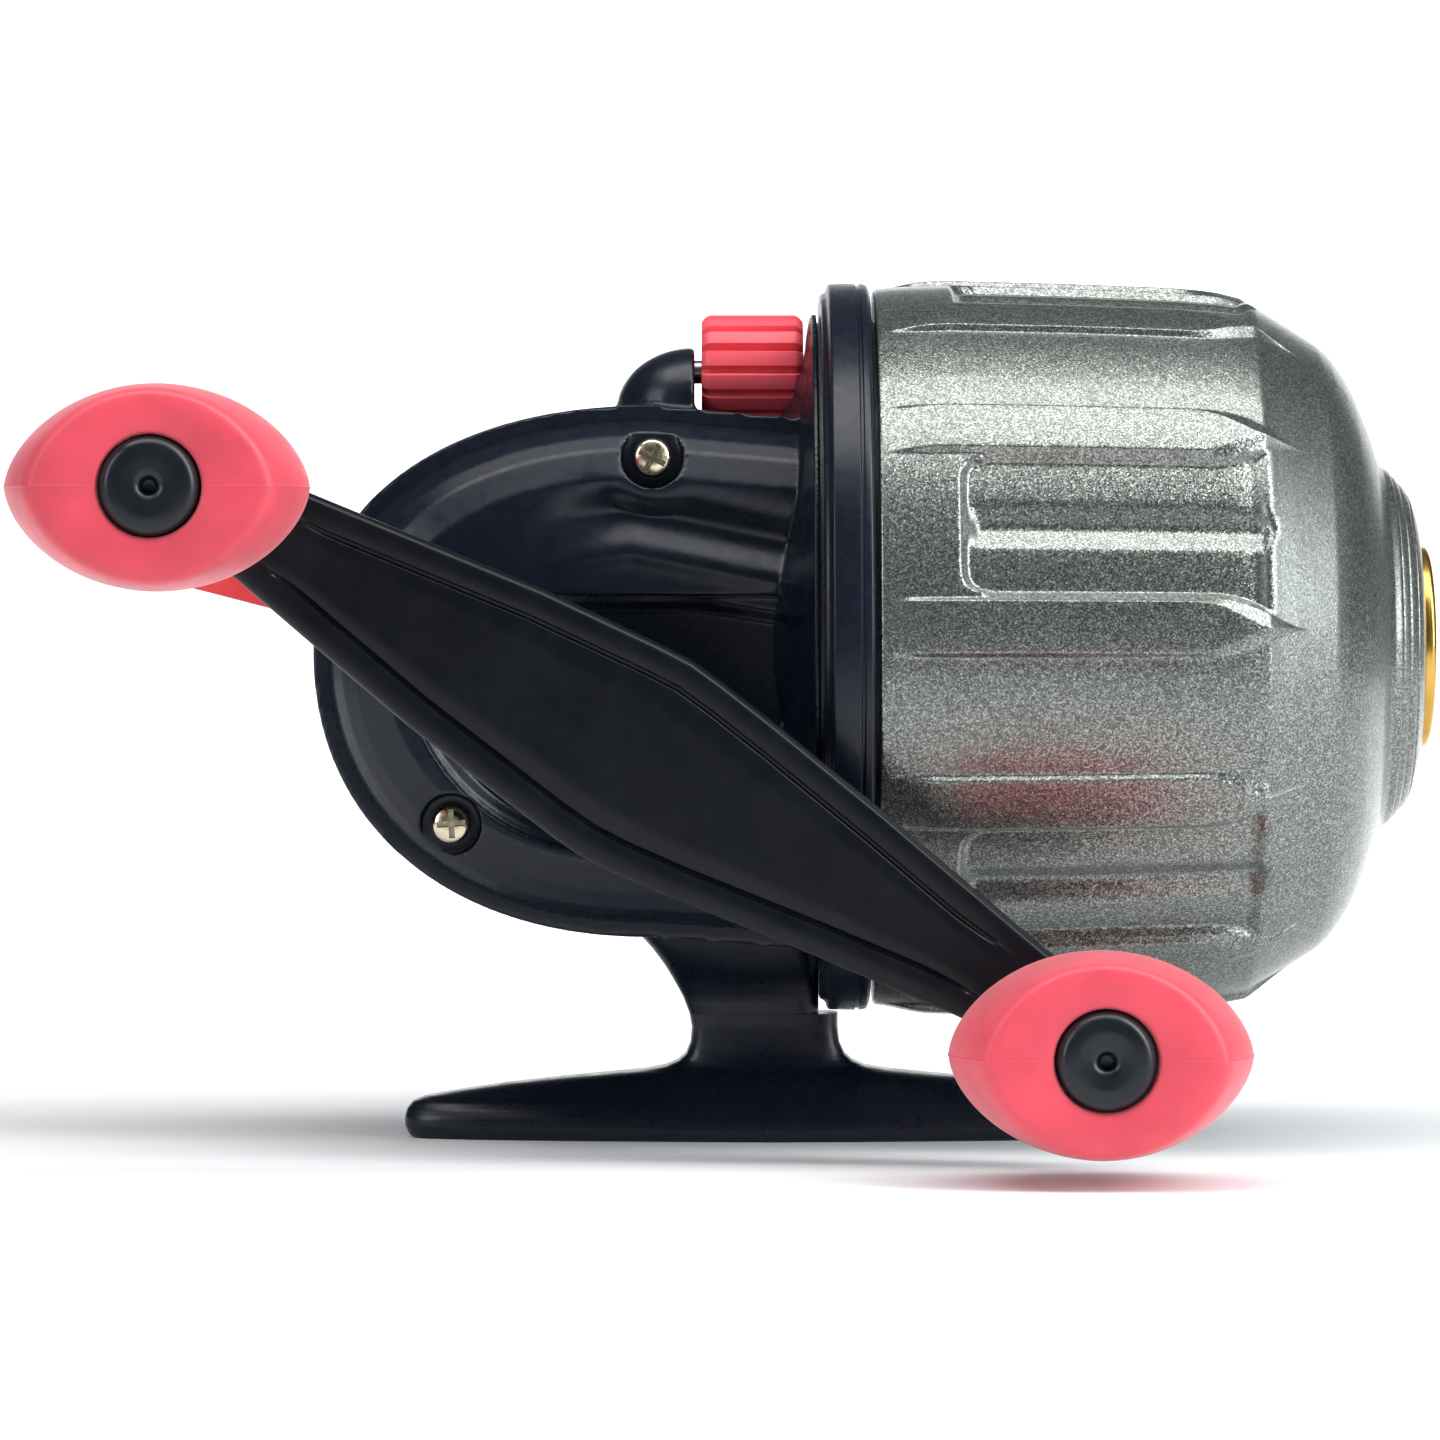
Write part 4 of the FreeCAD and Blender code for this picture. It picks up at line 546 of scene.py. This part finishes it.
FOOT_LEVELS = [  # height, rear, front, half width in the middle and at the ends, power of the outline's curve
    (0.0, -30.6, 30.6, 7.2, 4.2, 0.50), (0.25, -31.0, 31.0, 7.45, 4.5, 0.50),
    (1.0, -31.35, 31.35, 7.5, 4.65, 0.50), (1.8, -31.4, 31.4, 7.35, 4.6, 0.50),
    (2.5, -31.2, 31.2, 6.9, 4.2, 0.50), (3.1, -30.7, 30.7, 6.5, 3.7, 0.50),
    (3.5, -29.6, 29.6, 6.2, 3.2, 0.50), (4.0, -26.8, 26.6, 5.9, 2.8, 0.48),
    (4.6, -22.8, 22.4, 5.5, 2.6, 0.46), (5.1, -18.4, 17.9, 5.1, 2.6, 0.44),
    (5.5, -14.2, 13.4, 4.8, 2.7, 0.42), (5.8, -10.9, 10.3, 4.5, 2.8, 0.40),
    (6.15, -9.0, 8.2, 4.25, 2.9, 0.38), (6.6, -7.95, 7.1, 4.05, 3.0, 0.36),
    (7.2, -7.25, 6.4, 3.85, 3.1, 0.34), (8.2, -6.85, 5.95, 3.7, 3.2, 0.32),
    (9.5, -6.75, 5.8, 3.6, 3.2, 0.32), (10.68, -6.95, 5.8, 3.6, 3.2, 0.32),
    (10.7, -6.96, 4.15, 3.6, 3.2, 0.32), (12.1, -7.5, 4.15, 3.8, 3.3, 0.32),
    (13.4, -8.2, 4.15, 4.8, 3.9, 0.32), (14.9, -9.1, 4.15, 6.4, 5.2, 0.32),
    (16.4, -10.2, 4.15, 7.6, 6.4, 0.32), (17.7, -11.4, 4.15, 8.0, 6.9, 0.32),
    (18.8, -11.8, 4.15, 8.0, 7.0, 0.32)]


def rod_foot():
    """The foot: thin round toes that rise to a narrow stem, which flares into the saddle under the housing."""
    heights = np.array([row[0] for row in FOOT_LEVELS])
    fine = np.unique(np.concatenate([heights] + [heights[:-1] + np.diff(heights) * t for t in (0.33, 0.67)]))
    columns = list(zip(*FOOT_LEVELS))[1:]
    table = np.array([[np.interp(z, heights, column) for column in columns] for z in fine])
    turn = np.linspace(0, TURN, 128, endpoint=False)
    rings = []
    for z, (rear, front, wide, narrow, power) in zip(fine, table):
        along = np.sign(np.cos(turn)) * np.abs(np.cos(turn)) ** power
        across = np.sign(np.sin(turn)) * np.abs(np.sin(turn)) ** power
        half = narrow + (wide - narrow) * (1 - np.abs(along) ** 1.3)
        rings.append(on_axis("Z", (0, 0, 0), z, (front + rear) / 2 + (front - rear) / 2 * along, half * across))
    obj = skin("rod_foot", rings, sharp=50)
    for low, high in ((-22.0, -9.0), (9.0, 22.0)):
        cut_box(obj, [(x, y, z) for x in (low, high) for y in (-3.2, 3.2) for z in (-1.0, 2.0)])
    dress(tidy(obj, 42), "housing_black", "housing", "reel_foot")


def plate_screw(name, x, z, spin):
    """A pan-head cross screw in its recess."""
    head = rounded([
        (-17.6, 0), (-17.55, 0.8), (-17.3, 1.45), (-16.9, 1.65), (-16.0, 1.65), (-16.0, 0.9), (-8.0, 0.9),
        (-7.4, 0.3), (-7.4, 0)], 0.18, 3, closed=False)
    obj = lathe(name, head, "Y", (x, 0, z), 64)
    slot_half_length, slot_half_width = 1.2, 0.25
    box = [(u, v, w) for u in (-slot_half_length, slot_half_length) for v in (-18.2, -16.9)
           for w in (-slot_half_width, slot_half_width)]
    for turn in (0, 90):
        c, s = math.cos(math.radians(spin + turn)), math.sin(math.radians(spin + turn))
        cut_box(obj, [(x + u * c - w * s, v, z + u * s + w * c) for u, v, w in box])
    return dress(tidy(obj, 28), "nickel", "housing")


# ---------------------------------------------------------------- crank


def arm_point(u, v, y):
    """Points at u along the arm towards the front knob and v across it, upwards."""
    c, s = math.cos(CRANK_ANGLE), math.sin(CRANK_ANGLE)
    return np.stack([CRANK[0] + u * c + v * s, np.broadcast_to(y, np.shape(u)), CRANK[2] - u * s + v * c], -1)


ARM_UPPER = [(-44, 4.3), (-34.5, 5.5), (-13.4, 8.7), (-3, 9.75), (0, 9.95), (3, 9.7), (8.6, 9.0), (18.9, 7.5),
             (26.2, 6.3), (36.8, 4.6), (44, 3.9)]
ARM_LOWER = [(-44, -3.0), (-35.5, -3.4), (-26.1, -5.0), (-16.9, -6.5), (-3, -8.1), (0, -8.3), (3, -8.1),
             (7.8, -7.5), (20.4, -5.5), (33.1, -3.7), (44, -3.0)]
ARM_TIP = 3.9                    # how far the round ends reach past the knobs' axes


def arm():
    """The crank arm: long diamond outline, flat rim, and a panel in a groove that fades near the knobs."""
    ends = KNOB_REACH + ARM_TIP * np.sin(np.linspace(0.05, math.pi / 2 - 0.02, 9))
    mid = np.linspace(0, KNOB_REACH, 76)
    stations = np.concatenate([-ends[::-1], -mid[:0:-1], mid, ends])
    rings = []
    for u in stations:
        reach = abs(u)
        upper, lower = float(np.interp(u, *zip(*ARM_UPPER))), float(np.interp(u, *zip(*ARM_LOWER)))
        centre, half = (upper + lower) / 2, (upper - lower) / 2
        if reach > KNOB_REACH:
            half *= math.sqrt(max(1e-3, 1 - ((reach - KNOB_REACH) / ARM_TIP) ** 2))
        fade = 1 - float(step(reach, 29.0, 35.5))
        rim = min(2.3, 0.45 * half)
        k = min(1.0, half / 2.5)
        groove = rim + 0.14
        panel = rim + 0.62
        profile = [
            (0.6, ARM_REAR), (0.15, ARM_REAR - 0.15), (0.0, ARM_REAR - 0.6), (0.0, ARM_FRONT + 0.85),
            (0.08, ARM_FRONT + 0.6), (0.36, ARM_FRONT + 0.2), (0.5, ARM_FRONT + 0.1), (0.75, ARM_FRONT + 0.05),
            (rim - 0.12, ARM_FRONT), (rim, ARM_FRONT + 0.05 * fade), (groove, ARM_FRONT + 0.42 * fade),
            (rim + 0.34, ARM_FRONT + 0.46 * fade), (rim + 0.52, ARM_FRONT + 0.2 * fade),
            (panel, ARM_FRONT + 0.14 * fade), (panel + (half - rim) * 0.3, ARM_FRONT + 0.16 * fade),
        ]
        left = [(centre - half + inset * k, y) for inset, y in profile]
        right = [(centre + half - inset * k, y) for inset, y in profile[::-1]]
        section = left + right + [(centre + half * 0.4, ARM_REAR), (centre - half * 0.4, ARM_REAR)]
        v, y = np.array(section).T
        rings.append(arm_point(np.full(len(v), u), v, y))
    obj = skin("arm_blade", rings, sharp=50)
    hub = rounded([(-33.0, 6.0), (-24.0, 6.2), (-24.0, 3.05), (-33.0, 3.05)], [0, 0.5, 0.3, 0], 4)
    combine(obj, "UNION", lathe("hub", hub, "Y", CRANK, 96))
    dress(tidy(obj, 34), "arm_black", "crank", "crank_arm")


def grip(name, side, body, node, cap_node):
    """A paddle grip with a parting line round its middle, and the black cap in its face."""
    middle = arm_point(side * KNOB_REACH, 0.0, 0.0)
    close_up = [0.0, 0.016, 0.04, 0.1]      # points crowd in by the parting line
    quarter = np.concatenate([close_up, np.linspace(0.18, math.pi / 2 - 0.02, 19)])
    half = np.concatenate([quarter, math.pi - quarter[::-1]])
    theta = np.concatenate([half[:-1], half[:-1] + math.pi])
    line = np.isclose(np.sin(theta), 0, atol=1e-6).astype(float)
    line_height = 0.1
    length = KNOB_FRONT - KNOB_REAR

    def outline(part, long, tall):
        """A lens that share of the way from rear to face, as shares of the knob's half length and height."""
        x = KNOB_HALF_LENGTH * long * np.cos(theta) * (1 + line * line_height / KNOB_HALF_LENGTH)
        z = KNOB_HALF_HEIGHT * tall * np.sign(np.sin(theta)) * np.abs(np.sin(theta)) ** 1.2
        return on_axis("Y", middle, KNOB_REAR + length * part, x, z)

    def circle(part, radius):
        return on_axis("Y", middle, KNOB_REAR + length * part, radius * np.cos(theta), radius * np.sin(theta))

    rings = [outline(*row) for row in [
        (0.0, 0.50, 0.60), (0.012, 0.58, 0.68), (0.04, 0.655, 0.745), (0.1, 0.74, 0.82),
        (0.2, 0.85, 0.90), (0.33, 0.945, 0.965), (0.46, 0.99, 0.995), (0.56, 1.0, 1.0),
        (0.66, 0.985, 0.995), (0.78, 0.935, 0.98), (0.88, 0.875, 0.955), (0.935, 0.838, 0.938),
        (0.968, 0.81, 0.92), (0.988, 0.782, 0.898), (0.998, 0.752, 0.868)]]
    face_edge = rings[-1]
    hole = circle(1.0, 4.35)
    for t, rise in ((0.12, 0.004), (0.35, 0.007), (0.65, 0.006), (0.9, 0.002)):
        ring = face_edge * (1 - t) + hole * t
        ring[:, 1] = KNOB_REAR + length * (0.998 + rise) - line * 0.07
        rings.append(ring)
    rings += [circle(part, radius) for part, radius in [
        (1.0, 4.3), (0.992, 4.12), (0.975, 4.05), (0.86, 4.05), (0.86, 1.75), (0.02, 1.75), (0.0, 1.9)]]
    obj = skin(name, rings, loop=True, sharp=45)
    modified(obj, "SUBSURF", levels=1, render_levels=1)
    dress(tidy(obj, 50), "knob_red", body, node)
    cap = rounded([(-57.3, 0), (-57.35, 0.55), (-58.25, 0.75), (-58.5, 1.15), (-58.6, 2.4), (-58.45, 3.35),
                   (-58.0, 3.82), (-57.4, 3.96), (-55.8, 3.96), (-55.8, 0)],
                  [0, 0.2, 0.15, 0.2, 0.3, 0.3, 0.3, 0.3, 0.1, 0], 3, closed=False)
    dress(lathe(name + "_cap", cap, "Y", middle, 96), "cap_black", body, cap_node)


def spooled_line():
    """Line wound on the spool: close turns that rise and fall a little across its width."""
    start, end = 12.9, 28.7
    xs = np.linspace(start, end, 150)
    crown = 18.15 - 0.25 * ((xs - (start + end) / 2) / 8.0) ** 2
    pitch, ripple_height, core = 0.64, 0.07, 8.2
    ripple = ripple_height * np.abs(np.sin((xs - start) / pitch * math.pi))
    profile = [(start, core)] + list(zip(xs, crown + ripple)) + [(end, core)]
    dress(lathe("line_winding", profile, "X", LINE_AXIS, 120), "line", "line_spool", "fishing_line")


front_cover()
nose_ring()
collar()
dial()
housing()
rod_foot()
screw = plate_screw("plate_screw_top", *SCREW_TOP, 62)
plate_screw("plate_screw_low", *SCREW_LOW, 4)
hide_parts("side_cover_screws")
arm()
grip("grip_rear", -1, "rear_grip", "knob_rear", "knob_cap_rear")
grip("grip_front", 1, "front_grip", "knob_front", "knob_cap_front")
spooled_line()

# Nodes that no piece stands for show as they are, in the material that the record names.
for row in frame["record"]["subparts"]:
    mesh = NODES[row["node"]].data
    mesh.materials.clear()
    mesh.materials.append(MATERIALS[row["material_slot"]])


# ---------------------------------------------------------------- stage, light and camera


def studio():
    """A pale sweep, lights, and paper painted darker in front, above and to the sides: painted shade, a dark
    surround for black parts to reflect.

    Places and sizes of the lights are in metres.
    """
    bpy.context.scene.view_settings.view_transform = "Standard"
    side, front, back, radius, top = 1600, -1400, 900, 350, 1900
    bend = [(front, 0), (back, 0)]
    bend += [(back + radius * math.sin(a), radius - radius * math.cos(a))
             for a in np.linspace(0, math.pi / 2, 16)]
    bend.append((back + radius, top))
    verts = [(x, y, z) for y, z in bend for x in (-side, side)]
    faces = [(2 * i, 2 * i + 1, 2 * i + 3, 2 * i + 2) for i in range(len(bend) - 1)]
    sweep = new_object("sweep", verts, faces)
    paper = Shader("paper", Roughness=0.9)
    # Painted shade: masks that make the paper dark in front of the reel, high up and far to the sides.
    parts = paper.node("ShaderNodeSeparateXYZ", {"Vector": paper.place})
    near = paper.spread(parts.outputs["Y"], 0.0, 1.0, -0.42, -0.25)
    low = paper.spread(parts.outputs["Z"], 1.0, 0.0, 0.35, 0.6)
    sideways = paper.node("ShaderNodeMath", {0: parts.outputs["X"]}, operation="ABSOLUTE")
    middle = paper.spread(sideways.outputs[0], 1.0, 0.0, 0.5, 0.8)
    pale = paper.node("ShaderNodeMath", {0: near, 1: low}, operation="MULTIPLY")
    pale = paper.node("ShaderNodeMath", {0: pale.outputs[0], 1: middle}, operation="MULTIPLY")
    # Painted shade: the paper runs from pale near the reel to dark where the masks fall off.
    paper.colour(paper.ramp(pale.outputs[0], [(0.0, (0.12, 0.125, 0.135)), (1.0, (0.88, 0.885, 0.89))]))
    paper.bump(paper.noise(2.0, 3.0), 0.05)
    sweep.data.materials.append(paper.mat)

    world = bpy.data.worlds.new("studio")
    world.use_nodes = True
    background = world.node_tree.nodes["Background"]
    background.inputs["Color"].default_value = (0.85, 0.93, 1.0, 1.0)
    background.inputs["Strength"].default_value = 0.10
    bpy.context.scene.world = world

    def area(name, place, target, size, power, colour=(1, 1, 1)):
        lamp = bpy.data.lights.new(name, "AREA")
        lamp.shape = "RECTANGLE"
        lamp.size, lamp.size_y = size
        lamp.energy = power
        lamp.color = colour
        holder = bpy.data.objects.new(name, lamp)
        holder.location = place
        holder.rotation_euler = (Vector(target) - Vector(place)).to_track_quat("-Z", "Y").to_euler()
        bpy.context.scene.collection.objects.link(holder)

    reel = (0.0, 0.0, 0.04)
    area("overhead", (0.0, -0.13, 0.60), reel, (0.75, 0.34), 3.5)
    area("front_left", (-0.60, -0.42, 0.30), reel, (0.22, 0.5), 1.9, (0.85, 0.94, 1.0))
    area("front_right", (0.58, -0.36, 0.40), (0.02, 0.0, 0.04), (0.26, 0.8), 6.2, (0.95, 0.98, 1.0))
    area("backdrop", (0.0, 0.30, 0.62), (0.0, 1.25, 0.18), (1.0, 0.4), 16.0)


def camera():
    """A long lens straight at the crank's side, level with the reel. Places are in metres."""
    lens = bpy.data.cameras.new("camera")
    lens.lens = 174.4
    lens.sensor_width = 36.0
    lens.shift_x, lens.shift_y = 0.0104, -0.0833
    lens.clip_start, lens.clip_end = 0.05, 20.0
    holder = bpy.data.objects.new("camera", lens)
    holder.location = (-0.0056, -0.600, 0.0461)
    holder.rotation_euler = (math.pi / 2, 0.0, 0.0)
    bpy.context.scene.collection.objects.link(holder)
    bpy.context.scene.camera = holder


studio()
camera()
